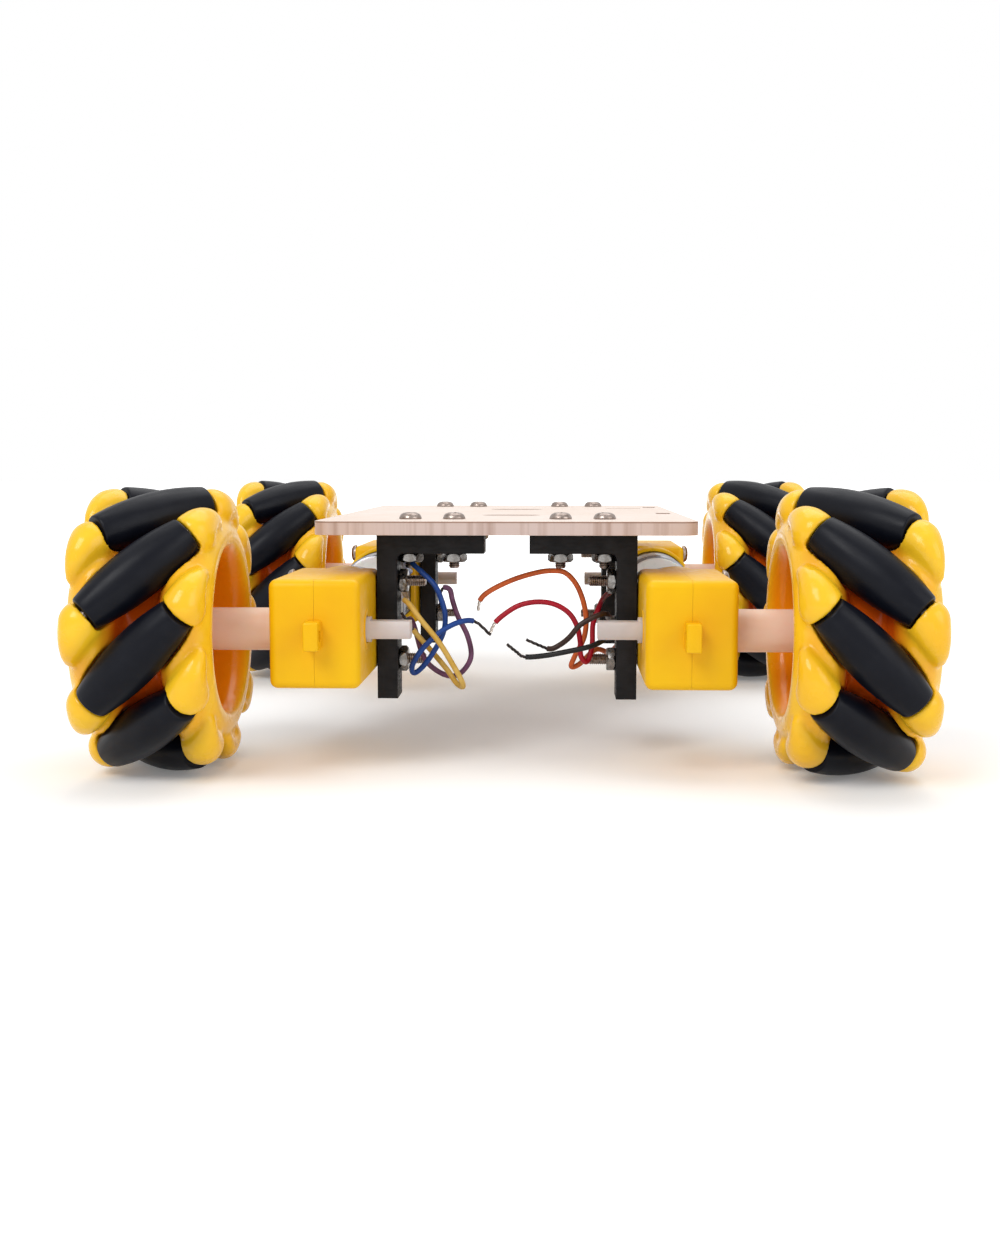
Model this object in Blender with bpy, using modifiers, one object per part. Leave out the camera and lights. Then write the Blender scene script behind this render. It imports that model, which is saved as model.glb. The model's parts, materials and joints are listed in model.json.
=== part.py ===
"""Mecanum wheel robot: a flat deck on four brackets, four gear motors and four roller wheels.

Metres, +Z up.  The origin is on the floor, midway between the four wheels.  The front is -Y, and
left and right are as seen from the front, so left is -X.
"""

import math

import bmesh
import bpy
from mathutils import Matrix, Vector

MM = 0.001

# Overall sizes
WHEELBASE = 148.0 * MM
WHEEL_RADIUS = 30.0 * MM
WHEEL_WIDTH = 29.0 * MM
DECK_WIDTH = 82.5 * MM
GEARBOX_INNER_X = 29.0 * MM

# Clearances
SEAT_GAP = 0.3 * MM
PIN_CLEARANCE = 0.35 * MM
POCKET_CLEARANCE = 0.5 * MM
CORE_CLEARANCE = 0.3 * MM
SHAFT_CLEARANCE = 0.3 * MM
WHEEL_GAP = 9.6 * MM
DECK_ABOVE_GEARBOX = 8.25 * MM

# Gear motor
GEARBOX_THICKNESS = 18.8 * MM
GEARBOX_HEIGHT = 22.5 * MM
GEARBOX_LENGTH = 37.0 * MM
GEARBOX_NOSE = 11.2 * MM
GEARBOX_ROUNDING = 1.6 * MM
GEARBOX_MIDDLE_X = GEARBOX_INNER_X + GEARBOX_THICKNESS / 2
GEARBOX_OUTER_X = GEARBOX_INNER_X + GEARBOX_THICKNESS
NOSE_TAB = (3.0 * MM, 5.0 * MM, 6.0 * MM)
NOSE_TAB_HOLE_RADIUS = 1.2 * MM
CRADLE_LENGTH = 9.0 * MM
CRADLE_STEP = 0.4 * MM
CRADLE_WALL = 0.85 * MM
CRADLE_SIDE_WALL = 1.15 * MM
MOTOR_RADIUS = 10.05 * MM
MOTOR_FLAT = GEARBOX_THICKNESS / 2 - CRADLE_STEP - CRADLE_SIDE_WALL - SEAT_GAP
CRADLE_RADIUS = MOTOR_RADIUS + SEAT_GAP + CRADLE_WALL
MOTOR_LENGTH = 26.0 * MM
MOTOR_BOSS_RADIUS = 3.2 * MM
MOTOR_BOSS_LENGTH = 1.6 * MM
TERMINAL = (1.6 * MM, 1.2 * MM, 0.8 * MM)
TERMINAL_SPACING = 8.0 * MM
MOTOR_BOLT_BEHIND_AXLE = 20.7 * MM
MOTOR_BOLT_MARGIN = 2.5 * MM
MOTOR_BOLT_SPACING = GEARBOX_HEIGHT - 2 * MOTOR_BOLT_MARGIN

# Bracket
BRACKET_THICKNESS = 4.5 * MM
FLANGE_THICKNESS = 4.2 * MM
FLANGE_REACH = 19.2 * MM
BRACKET_DEPTH = 10.0 * MM
BRACKET_BELOW_BOLT = 8.45 * MM
BRACKET_FILLET = 1.5 * MM
BRACKET_OUTER_X = GEARBOX_INNER_X - SEAT_GAP
BRACKET_INNER_X = BRACKET_OUTER_X - BRACKET_THICKNESS
FLANGE_INNER_X = BRACKET_INNER_X - FLANGE_REACH
AXLE_HEIGHT = WHEEL_RADIUS
AXLE_Y = WHEELBASE / 2
BRACKET_Y = AXLE_Y - MOTOR_BOLT_BEHIND_AXLE
BRACKET_BOTTOM = AXLE_HEIGHT - MOTOR_BOLT_SPACING / 2 - BRACKET_BELOW_BOLT
DECK_SCREW_FROM_LEG = 2.6 * MM
DECK_SCREW_SPACING = 9.75 * MM
OUTER_SCREW_X = BRACKET_INNER_X - DECK_SCREW_FROM_LEG
DECK_SCREW_X = (OUTER_SCREW_X - DECK_SCREW_SPACING, OUTER_SCREW_X)
SCREW_HOLE_RADIUS = 1.4 * MM

# Deck
DECK_OVERHANG = 9.95 * MM
DECK_LENGTH = 2 * BRACKET_Y + BRACKET_DEPTH + 2 * DECK_OVERHANG
DECK_THICKNESS = 3.0 * MM
DECK_UNDERSIDE = AXLE_HEIGHT + GEARBOX_HEIGHT / 2 + DECK_ABOVE_GEARBOX
FLANGE_TOP = DECK_UNDERSIDE - SEAT_GAP
DECK_CORNER = 4.0 * MM
CABLE_SLOT = (14.0 * MM, 6.0 * MM)
CABLE_SLOT_CORNER = 2.9 * MM
CABLE_SLOT_Y = 25.0 * MM
EDGE_SLOT = (3.5 * MM, 8.0 * MM)
EDGE_SLOT_FROM_EDGE = 3.75 * MM
EDGE_SLOT_X = DECK_WIDTH / 2 - EDGE_SLOT_FROM_EDGE
EDGE_SLOT_PLACES = ((EDGE_SLOT_X, -10.5 * MM), (EDGE_SLOT_X, 47.0 * MM))
CROSS_SLOT = (9.7 * MM, 3.5 * MM)
CROSS_SLOT_FROM_EDGE = 11.75 * MM
CROSS_SLOT_PLACE = (DECK_WIDTH / 2 - CROSS_SLOT_FROM_EDGE, 35.0 * MM)
SMALL_SLOT_CORNER = 0.5 * MM

# Roller
ROLLERS_PER_WHEEL = 9
ROLLER_TILT = math.radians(45.0)
ROLLER_MIDDLE_RADIUS = 5.3 * MM
ROLLER_AXIS_RADIUS = WHEEL_RADIUS - ROLLER_MIDDLE_RADIUS
ROLLER_END_INSET = 5.45 * MM
ROLLER_LENGTH = (WHEEL_WIDTH - 2 * ROLLER_END_INSET) / math.cos(ROLLER_TILT)
PIN_RADIUS = 0.9 * MM
PIN_SEAT = 1.0 * MM
PIN_REACH = ROLLER_LENGTH / 2 + POCKET_CLEARANCE + PIN_SEAT

# Wheel
WHEEL_INNER_X = GEARBOX_OUTER_X + WHEEL_GAP
WHEEL_MIDDLE_X = WHEEL_INNER_X + WHEEL_WIDTH / 2
HUB_OVER_PIN = 1.5 * MM
HUB_RADIUS = math.hypot(ROLLER_AXIS_RADIUS, PIN_REACH * math.sin(ROLLER_TILT)) + HUB_OVER_PIN
HUB_CHAMFER = 3.0 * MM
HUB_CORE_RADIUS = ROLLER_AXIS_RADIUS - ROLLER_MIDDLE_RADIUS - POCKET_CLEARANCE - CORE_CLEARANCE
HUB_CORE_WALL = 2.2 * MM
HUB_BORE_RADIUS = HUB_CORE_RADIUS - HUB_CORE_WALL
HUB_OPENING_FLARE = 1.6 * MM
HUB_OPENING_RADIUS = HUB_BORE_RADIUS + HUB_OPENING_FLARE
HUB_GROOVE_WIDTH = 7.0 * MM
HUB_GROOVE_SLOPE = 2.0 * MM
WEB_THICKNESS = 3.0 * MM
WEB_RECESS = 5.0 * MM
SHAFT_RADIUS = 2.7 * MM
SHAFT_FLAT_DEPTH = 0.85 * MM
SHAFT_FLAT = SHAFT_RADIUS - SHAFT_FLAT_DEPTH
SHAFT_STUB = 9.4 * MM
SHAFT_FLAT_LENGTH = 8.4 * MM
COUPLER_WALL = 1.8 * MM
COUPLER_RADIUS = SHAFT_RADIUS + COUPLER_WALL
BOSS_WALL = 3.0 * MM
BOSS_RADIUS = COUPLER_RADIUS + BOSS_WALL
BOSS_LENGTH = 8.0 * MM
BOSS_CAP_RADIUS = 6.5 * MM
BOSS_CAP_LENGTH = 2.0 * MM

# How far a joined shape or a cutter reaches past the face that it starts from
JOIN_DEPTH = 2.0 * MM
CUT_REACH = 5.0 * MM

# Facets
RIM_STEPS = 18
SHAFT_STEPS = 12
ROLLER_STEPS = 10
POCKET_STEPS = 8
PIN_STEPS = 6
HOLE_STEPS = 8

# Side, row and the turn of the first roller about the axle, for each corner
CORNERS = {
    "front_left": (-1, -1, math.radians(72.0)),
    "front_right": (1, -1, math.radians(74.0)),
    "rear_left": (-1, 1, math.radians(72.0)),
    "rear_right": (1, 1, math.radians(75.0)),
}

# Wires: name, colour and diameter
WIRE_DIAMETER = 1.2 * MM
WIRE_SPACING = 3.6 * MM
WIRE_COLOURS = {
    "wire_yellow": (0.62, 0.40, 0.02),
    "wire_purple": (0.25, 0.10, 0.45),
    "wire_blue": (0.02, 0.10, 0.60),
    "wire_red": (0.70, 0.02, 0.02),
    "wire_brown": (0.22, 0.08, 0.03),
    "wire_orange": (0.85, 0.22, 0.02),
    "wire_black": (0.01, 0.01, 0.012),
}
# Hand-chosen route points in millimetres, from the motor's terminal to the free end
WIRE_ROUTES = {
    "wire_yellow": (
        (-38.4, -20.4, 34), (-38.0, -16.4, 34), (-33, -14, 34.4), (-27, -19, 35), (-25.2, -34, 34.8),
        (-23.3, -46, 34.2), (-22.8, -53, 34.3), (-22.3, -60, 34.9), (-20.8, -64.4, 34.3),
        (-18.2, -66.4, 31.2), (-14.4, -66.8, 26.6), (-11.4, -66.8, 21.7), (-9.5, -66.4, 18.1), (-9.3, -64.8, 16.5),
        (-10.8, -62.4, 16.9), (-13.2, -60.6, 19.9), (-16.6, -58.9, 23.6), (-19.4, -59, 26.8),
        (-21.6, -60, 29.8), (-22.9, -61.2, 32.2),
    ),
    "wire_purple": (
        (-38.4, -20.4, 26), (-38.0, -16.4, 26), (-33, -14, 26.2), (-27, -19, 27), (-25.2, -34, 27.8),
        (-23.4, -46, 28.6), (-22, -52, 30), (-20.6, -57, 29), (-18.6, -57.5, 22.4), (-16.2, -57, 19.4),
        (-13, -57, 17.8), (-10.6, -57, 18.2), (-8.6, -57, 20.4), (-7.9, -57, 23), (-8.8, -57, 27),
        (-10.8, -57, 31), (-12, -57, 34.6), (-12.6, -57, 37), (-14, -57, 37.4), (-14.8, -57, 35.6),
        (-14.6, -57, 32.6),
    ),
    "wire_blue": (
        (-38.4, 20.4, 34), (-38.0, 16.4, 34), (-33, 12.5, 35), (-27, 0, 37), (-25.4, -28, 40),
        (-22.6, -46, 42.8), (-20.6, -56, 42.4), (-16, -60, 38.6), (-14.2, -60.4, 35), (-13.4, -60.4, 31.4),
        (-13.9, -60.6, 27.6), (-16.2, -61.3, 23.2), (-18.7, -61.6, 20), (-20.2, -62.7, 19.2),
        (-20.4, -64.2, 20.8), (-19.2, -65, 23.2), (-17.1, -65, 25.8), (-13.9, -64.2, 28.6),
        (-10.2, -63, 30.4), (-6.8, -61.6, 30.4), (-3.4, -61, 27.4),
    ),
    "wire_red": (
        (38.4, -20.4, 34), (38.0, -16.4, 34), (33, -14, 34.4), (27, -19, 35), (25.2, -34, 35.6),
        (24, -42, 35.8), (21.6, -49, 34.6), (20.2, -54.4, 32.4), (19.1, -55, 29.2), (18.9, -56, 24.6),
        (17.8, -57.4, 21.2), (16.4, -58.6, 22.6), (16.2, -58.6, 26), (15.4, -58, 29.4), (13.6, -57.6, 32.1),
        (10.5, -57.4, 33.9), (6.8, -57.4, 34.4), (3, -57.4, 33.7), (0, -57.4, 32), (-2.5, -57.4, 29.8),
        (-3.7, -57.4, 27.4),
    ),
    "wire_brown": (
        (38.4, -20.4, 26), (38.0, -16.4, 26), (33, -14, 26.4), (27, -19, 27.6), (25.3, -34, 28.8),
        (24, -44, 29.5), (22.7, -50, 30.2), (22.3, -57, 31.6), (20.4, -61.4, 32), (16.3, -62, 29.9),
        (13.8, -61.6, 27), (11.6, -61, 25.2), (9.6, -61, 24.4), (7.2, -61, 25.2), (4.4, -61, 26.4),
    ),
    "wire_orange": (
        (38.4, 20.4, 26), (38.0, 16.4, 26), (33, 12.5, 25), (27.4, -5, 22), (25.6, -25, 21), (23, -43, 21.6),
        (19.9, -48, 22.7), (16.2, -48.4, 19.4), (14.4, -49, 19), (15.2, -50.5, 21.6), (17.2, -52.6, 26),
        (17.6, -53, 30.6), (16.7, -53.4, 35), (15.1, -53.4, 38.4), (12.8, -53, 40.6), (10, -53, 41),
        (6.7, -53, 40.6), (1.6, -53, 39.1), (-3.3, -53, 36.8), (-5.9, -53, 34.7), (-6.6, -53, 32),
    ),
    "wire_black": (
        (38.4, 20.4, 34), (38.0, 16.4, 34), (33, 12.5, 33), (27.6, -4, 28), (26.2, -20, 24.8),
        (24.7, -40, 25.2), (22.9, -50, 26.4), (21.8, -60, 26.6), (18.5, -64, 25.4), (13, -64.6, 24.2),
        (8, -64.6, 23.3), (4, -64.6, 23.1), (2.3, -64.6, 24.2), (0.3, -64.6, 25.8),
    ),
}


# Scene and materials

def clear_scene():
    for old in list(bpy.data.objects):
        bpy.data.objects.remove(old, do_unlink=True)


def new_collection(name):
    collection = bpy.data.collections.new(name)
    bpy.context.scene.collection.children.link(collection)
    return collection


def new_material(name, colour, roughness, metallic=0.0):
    material = bpy.data.materials.new(name)
    material.use_nodes = True
    shader = material.node_tree.nodes["Principled BSDF"]
    shader.inputs["Base Color"].default_value = (*colour, 1.0)
    shader.inputs["Roughness"].default_value = roughness
    shader.inputs["Metallic"].default_value = metallic
    return material


def new_object(name, mesh, collection):
    item = bpy.data.objects.new(name, mesh)
    collection.objects.link(item)
    return item


def finish(item, material):
    item.data.materials.clear()
    item.data.materials.append(material)
    item.data.shade_smooth()
    item.data.set_sharp_from_angle(angle=math.radians(35.0))
    return item


# Mesh tools

def evaluated_mesh(item):
    graph = bpy.context.evaluated_depsgraph_get()
    graph.update()
    return bpy.data.meshes.new_from_object(item.evaluated_get(graph))


def weld(mesh):
    shape = bmesh.new()
    shape.from_mesh(mesh)
    bmesh.ops.remove_doubles(shape, verts=shape.verts, dist=0.001 * MM)
    bmesh.ops.recalc_face_normals(shape, faces=shape.faces)
    shape.to_mesh(mesh)
    shape.free()
    return mesh


def replace_with(item, mesh):
    """Gives the item's shape to a plain mesh object in the same place."""
    plain = bpy.data.objects.new(item.name, mesh)
    plain.matrix_world = item.matrix_world.copy()
    for collection in item.users_collection:
        collection.objects.link(plain)
    name = item.name
    bpy.data.objects.remove(item, do_unlink=True)
    plain.name = name
    return plain


def box(name, low, high, collection):
    middle = (Vector(low) + Vector(high)) / 2
    size = Vector(high) - Vector(low)
    shape = bmesh.new()
    matrix = Matrix.Translation(middle) @ Matrix.Diagonal((*size, 1.0))
    bmesh.ops.create_cube(shape, size=1.0, matrix=matrix)
    mesh = bpy.data.meshes.new(name)
    shape.to_mesh(mesh)
    shape.free()
    return new_object(name, mesh, collection)


def rod(name, start, end, radius, steps, collection):
    start = Vector(start)
    end = Vector(end)
    along = end - start
    turn = along.to_track_quat("Z", "Y").to_matrix().to_4x4()
    matrix = Matrix.Translation((start + end) / 2) @ turn
    shape = bmesh.new()
    bmesh.ops.create_cone(shape, cap_ends=True, segments=steps, radius1=radius, radius2=radius,
                          depth=along.length, matrix=matrix)
    mesh = bpy.data.meshes.new(name)
    shape.to_mesh(mesh)
    shape.free()
    return new_object(name, mesh, collection)


def plate(name, outlines, thickness, collection):
    """A flat plate in the XY plane, centred on it; outlines after the first are holes."""
    curve = bpy.data.curves.new(name, "CURVE")
    curve.dimensions = "2D"
    curve.fill_mode = "BOTH"
    curve.extrude = thickness / 2
    for outline in outlines:
        spline = curve.splines.new("POLY")
        spline.points.add(len(outline) - 1)
        for point, (x, y) in zip(spline.points, outline):
            point.co = (x, y, 0.0, 1.0)
        spline.use_cyclic_u = True
    item = new_object(name, curve, collection)
    return replace_with(item, weld(evaluated_mesh(item)))


def turned(name, profile, steps, collection):
    """Turns a profile of (radius, height) about Z."""
    mesh = bpy.data.meshes.new(name)
    points = [(radius, 0.0, height) for radius, height in profile]
    mesh.from_pydata(points, [(i, i + 1) for i in range(len(points) - 1)], [])
    item = new_object(name, mesh, collection)
    screw = item.modifiers.new("Turn", "SCREW")
    screw.steps = steps
    screw.render_steps = steps
    screw.use_merge_vertices = True
    screw.merge_threshold = 0.001 * MM
    return replace_with(item, weld(evaluated_mesh(item)))


def combine(item, tool, operation):
    """Cuts the tool from the item, or joins it, and removes the tool."""
    tool.hide_render = True
    tool.display_type = "WIRE"
    modifier = item.modifiers.new("Shape", "BOOLEAN")
    modifier.operation = operation
    modifier.solver = "EXACT"
    modifier.object = tool
    mesh = evaluated_mesh(item)
    item.modifiers.clear()
    item.data = mesh
    bpy.data.objects.remove(tool, do_unlink=True)


def move_mesh(item, matrix):
    """Moves the mesh under the object's origin, keeping its faces out when it is mirrored."""
    item.data.transform(matrix)
    if matrix.determinant() < 0:
        item.data.flip_normals()


def circle(centre, radius, steps):
    turns = [2 * math.pi * i / steps for i in range(steps)]
    return [(centre[0] + radius * math.cos(a), centre[1] + radius * math.sin(a)) for a in turns]


def rounded_box(centre, size, corner, steps=3):
    """Outline of a rectangle with round corners."""
    outline = []
    for quarter, (sx, sy) in enumerate(((1, 1), (-1, 1), (-1, -1), (1, -1))):
        cx = centre[0] + sx * (size[0] / 2 - corner)
        cy = centre[1] + sy * (size[1] / 2 - corner)
        for i in range(steps + 1):
            angle = math.pi / 2 * (quarter + i / steps)
            outline.append((cx + corner * math.cos(angle), cy + corner * math.sin(angle)))
    return outline


def can_outline(radius, flat, steps=6):
    """Outline of a circle cut by two flats at plus and minus X."""
    half = math.asin(flat / radius)
    outline = []
    for side in (1, -1):
        for i in range(steps + 1):
            angle = side * math.pi / 2 + half * (1 - 2 * i / steps) * -1
            outline.append((radius * math.cos(angle), radius * math.sin(angle)))
    return outline


# Sub-parts

def make_deck(collection, material):
    outlines = [rounded_box((0, 0), (DECK_WIDTH, DECK_LENGTH), DECK_CORNER)]
    for row in (-1, 1):
        outlines.append(rounded_box((0, row * CABLE_SLOT_Y), CABLE_SLOT, CABLE_SLOT_CORNER))
        for side in (-1, 1):
            for screw_x in DECK_SCREW_X:
                place = (side * screw_x, row * BRACKET_Y)
                outlines.append(circle(place, SCREW_HOLE_RADIUS, HOLE_STEPS))
    for place in EDGE_SLOT_PLACES:
        outlines.append(rounded_box(place, EDGE_SLOT, SMALL_SLOT_CORNER, 1))
    outlines.append(rounded_box(CROSS_SLOT_PLACE, CROSS_SLOT, SMALL_SLOT_CORNER, 1))
    deck = plate("deck", outlines, DECK_THICKNESS, collection)
    deck.location = (0, 0, DECK_UNDERSIDE + DECK_THICKNESS / 2)
    return finish(deck, material)


def make_bracket(corner, side, row, collection, cutters, material):
    inner = BRACKET_INNER_X
    top = FLANGE_TOP
    under = FLANGE_TOP - FLANGE_THICKNESS
    outline = [(FLANGE_INNER_X, top), (BRACKET_OUTER_X, top), (BRACKET_OUTER_X, BRACKET_BOTTOM),
               (inner, BRACKET_BOTTOM)]
    for i in range(4):
        angle = math.pi / 2 * i / 3
        outline.append((inner - BRACKET_FILLET * (1 - math.cos(angle)),
                        under - BRACKET_FILLET * (1 - math.sin(angle))))
    outline.append((FLANGE_INNER_X, under))
    outline = [(side * x, z) for x, z in outline]
    bracket = plate("bracket_" + corner, [outline], BRACKET_DEPTH, collection)
    move_mesh(bracket, Matrix.Rotation(math.pi / 2, 4, "X"))
    bracket.location = (0, row * BRACKET_Y, 0)
    bpy.context.view_layer.update()
    y = row * BRACKET_Y
    for screw_x in DECK_SCREW_X:
        x = side * screw_x
        hole = rod("hole", (x, y, under - CUT_REACH), (x, y, top + CUT_REACH), SCREW_HOLE_RADIUS,
                   HOLE_STEPS, cutters)
        combine(bracket, hole, "DIFFERENCE")
    start_x = side * (inner - CUT_REACH)
    end_x = side * (BRACKET_OUTER_X + CUT_REACH)
    for level in (-1, 1):
        z = AXLE_HEIGHT + level * MOTOR_BOLT_SPACING / 2
        hole = rod("hole", (start_x, y, z), (end_x, y, z), SCREW_HOLE_RADIUS, HOLE_STEPS, cutters)
        combine(bracket, hole, "DIFFERENCE")
    return finish(bracket, material)


def cradle_prism(name, radius, flat, start, end, collection):
    """A flatted round prism along Y, measured from the axle towards the robot's middle."""
    prism = plate(name, [can_outline(radius, flat)], end - start, collection)
    move_mesh(prism, Matrix.Translation((0, (start + end) / 2, 0)) @ Matrix.Rotation(math.pi / 2, 4, "X"))
    return prism


def to_corner(item, side, row):
    """Turns a piece drawn with +X outwards and +Y to the middle into its corner of the robot."""
    move_mesh(item, Matrix.Diagonal((side, -row, 1, 1)))
    item.location = (side * GEARBOX_MIDDLE_X, row * AXLE_Y, AXLE_HEIGHT)


def make_gearbox(corner, side, row, collection, cutters, material):
    half = GEARBOX_THICKNESS / 2
    rear = GEARBOX_LENGTH - GEARBOX_NOSE
    gearbox = box("gearbox_" + corner, (-half, -GEARBOX_NOSE, -GEARBOX_HEIGHT / 2),
                  (half, rear, GEARBOX_HEIGHT / 2), collection)
    bevel = gearbox.modifiers.new("Round", "BEVEL")
    bevel.width = GEARBOX_ROUNDING
    bevel.segments = 1
    mesh = evaluated_mesh(gearbox)
    gearbox.modifiers.clear()
    gearbox.data = mesh
    cradle = cradle_prism("cradle", CRADLE_RADIUS, half - CRADLE_STEP, rear - JOIN_DEPTH,
                          rear + CRADLE_LENGTH, cutters)
    combine(gearbox, cradle, "UNION")
    tab_x, tab_y, tab_z = NOSE_TAB
    tab = box("tab", (-tab_x / 2, -GEARBOX_NOSE - tab_y, -tab_z / 2),
              (tab_x / 2, -GEARBOX_NOSE + JOIN_DEPTH, tab_z / 2), cutters)
    combine(gearbox, tab, "UNION")
    hole_y = -GEARBOX_NOSE - tab_y / 2
    hole = rod("hole", (-half, hole_y, 0), (half, hole_y, 0), NOSE_TAB_HOLE_RADIUS, HOLE_STEPS, cutters)
    combine(gearbox, hole, "DIFFERENCE")
    pocket = cradle_prism("pocket", MOTOR_RADIUS + SEAT_GAP, MOTOR_FLAT + SEAT_GAP, rear,
                          rear + CRADLE_LENGTH + CUT_REACH, cutters)
    combine(gearbox, pocket, "DIFFERENCE")
    bore = rod("bore", (-2 * half, 0, 0), (2 * half, 0, 0), SHAFT_RADIUS + SHAFT_CLEARANCE, 16, cutters)
    combine(gearbox, bore, "DIFFERENCE")
    for level in (-1, 1):
        z = level * MOTOR_BOLT_SPACING / 2
        hole = rod("hole", (-2 * half, MOTOR_BOLT_BEHIND_AXLE, z), (2 * half, MOTOR_BOLT_BEHIND_AXLE, z),
                   SCREW_HOLE_RADIUS, HOLE_STEPS, cutters)
        combine(gearbox, hole, "DIFFERENCE")
    to_corner(gearbox, side, row)
    return finish(gearbox, material)


def make_motor(corner, side, row, collection, cutters, material):
    front = GEARBOX_LENGTH - GEARBOX_NOSE + SEAT_GAP
    back = front + MOTOR_LENGTH
    motor = cradle_prism("motor_" + corner, MOTOR_RADIUS, MOTOR_FLAT, front, back, collection)
    boss = rod("boss", (0, back - JOIN_DEPTH, 0), (0, back + MOTOR_BOSS_LENGTH, 0), MOTOR_BOSS_RADIUS,
               SHAFT_STEPS, cutters)
    combine(motor, boss, "UNION")
    wide, deep, thick = TERMINAL
    for level in (-1, 1):
        z = level * TERMINAL_SPACING / 2
        tab = box("terminal", (-wide / 2, back - JOIN_DEPTH, z - thick / 2),
                  (wide / 2, back + deep, z + thick / 2), cutters)
        combine(motor, tab, "UNION")
    to_corner(motor, side, row)
    return finish(motor, material)


def roller_radius(along):
    """Radius that keeps the tilted roller's outer line on the wheel's cylinder."""
    sideways = along * math.sin(ROLLER_TILT)
    return WHEEL_RADIUS - math.hypot(ROLLER_AXIS_RADIUS, sideways)


def barrel_profile(half_length, bands=4):
    heights = [half_length * (1 - 2 * i / bands) for i in range(bands + 1)]
    return [(roller_radius(height), height) for height in heights]


def pocket_profile(half_length):
    """Two cones whose flats clear the roller all along, with closed ends."""
    middle = roller_radius(0) + POCKET_CLEARANCE
    quarter = roller_radius(ROLLER_LENGTH / 4) + POCKET_CLEARANCE
    end = 2 * quarter - middle
    widen = 1 / math.cos(math.pi / POCKET_STEPS)
    return [(0, half_length), (end * widen, half_length), (middle * widen, 0),
            (end * widen, -half_length), (0, -half_length)]


def roller_matrix(side, turn):
    """Roller frame in the wheel's own frame: local Z is its pin, local X points away from the axle."""
    outward = Vector((0, -math.cos(turn), math.sin(turn)))
    forward = Vector((0, math.sin(turn), math.cos(turn)))
    pin = Vector((-side * math.cos(ROLLER_TILT), 0, 0)) + forward * math.sin(ROLLER_TILT)
    third = pin.cross(outward)
    matrix = Matrix((outward, third, pin)).transposed().to_4x4()
    matrix.translation = outward * ROLLER_AXIS_RADIUS
    return matrix


def make_roller_mesh(cutters):
    bore = PIN_RADIUS + PIN_CLEARANCE
    half = ROLLER_LENGTH / 2
    profile = [(bore, half)] + barrel_profile(half) + [(bore, -half), (bore, half)]
    roller = turned("roller", profile, ROLLER_STEPS, cutters)
    mesh = roller.data
    bpy.data.objects.remove(roller, do_unlink=True)
    return mesh


def hub_profile():
    """Rim, web and boss; heights are distances from the wheel's middle plane, outwards."""
    face = WHEEL_WIDTH / 2
    groove = HUB_GROOVE_WIDTH / 2
    core = HUB_CORE_RADIUS
    web_top = face - WEB_RECESS
    web_under = web_top - WEB_THICKNESS
    boss_end = web_under - BOSS_LENGTH
    lip = HUB_RADIUS - HUB_CHAMFER
    cap_top = web_top + BOSS_CAP_LENGTH
    groove_top = groove + HUB_GROOVE_SLOPE
    return [
        (0, cap_top), (BOSS_CAP_RADIUS, cap_top), (BOSS_CAP_RADIUS, web_top),
        (HUB_BORE_RADIUS, web_top), (HUB_OPENING_RADIUS, face), (lip, face),
        (HUB_RADIUS, face - HUB_CHAMFER), (HUB_RADIUS, groove_top), (core, groove), (core, -groove),
        (HUB_RADIUS, -groove_top), (HUB_RADIUS, HUB_CHAMFER - face), (lip, -face),
        (HUB_OPENING_RADIUS, -face), (HUB_BORE_RADIUS, HUB_CHAMFER - face), (HUB_BORE_RADIUS, web_under),
        (BOSS_RADIUS, web_under), (BOSS_RADIUS, boss_end), (0, boss_end),
    ]


def shaft_profile():
    """Coupler and motor shaft, from inside the boss to the stub past the gearbox."""
    coupler_start = WHEEL_WIDTH / 2 - WEB_RECESS - WEB_THICKNESS
    coupler_end = GEARBOX_OUTER_X + SHAFT_CLEARANCE - WHEEL_MIDDLE_X
    shaft_end = GEARBOX_INNER_X - SHAFT_STUB - WHEEL_MIDDLE_X
    return [
        (0, coupler_start), (COUPLER_RADIUS, coupler_start), (COUPLER_RADIUS, coupler_end),
        (SHAFT_RADIUS, coupler_end), (SHAFT_RADIUS, shaft_end), (0, shaft_end),
    ]


def make_hub_mesh(side, first_turn, cutters):
    """Hub with pockets for its rollers, the rollers' pins and the motor's output shaft."""
    outward = Matrix.Rotation(side * math.pi / 2, 4, "Y")
    hub = turned("hub", hub_profile(), RIM_STEPS, cutters)
    move_mesh(hub, outward)
    shaft = turned("shaft", shaft_profile(), SHAFT_STEPS, cutters)
    move_mesh(shaft, outward)
    combine(hub, shaft, "UNION")
    half = ROLLER_LENGTH / 2
    pocket_half = half + POCKET_CLEARANCE
    for i in range(ROLLERS_PER_WHEEL):
        frame = roller_matrix(side, first_turn + 2 * math.pi * i / ROLLERS_PER_WHEEL)
        pocket = turned("pocket", pocket_profile(pocket_half), POCKET_STEPS, cutters)
        move_mesh(pocket, frame)
        combine(hub, pocket, "DIFFERENCE")
    for i in range(ROLLERS_PER_WHEEL):
        frame = roller_matrix(side, first_turn + 2 * math.pi * i / ROLLERS_PER_WHEEL)
        pin = rod("pin", frame @ Vector((0, 0, -PIN_REACH)), frame @ Vector((0, 0, PIN_REACH)),
                  PIN_RADIUS, PIN_STEPS, cutters)
        combine(hub, pin, "UNION")
    stub_end = GEARBOX_INNER_X - SHAFT_STUB - WHEEL_MIDDLE_X
    along = sorted((side * (stub_end - CUT_REACH), side * (stub_end + SHAFT_FLAT_LENGTH)))
    wide = 2 * SHAFT_RADIUS
    for level in (-1, 1):
        edges = sorted((level * SHAFT_FLAT, level * wide))
        flat = box("flat", (along[0], -wide, edges[0]), (along[1], wide, edges[1]), cutters)
        combine(hub, flat, "DIFFERENCE")
    mesh = hub.data
    bpy.data.objects.remove(hub, do_unlink=True)
    return weld(mesh)


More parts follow.
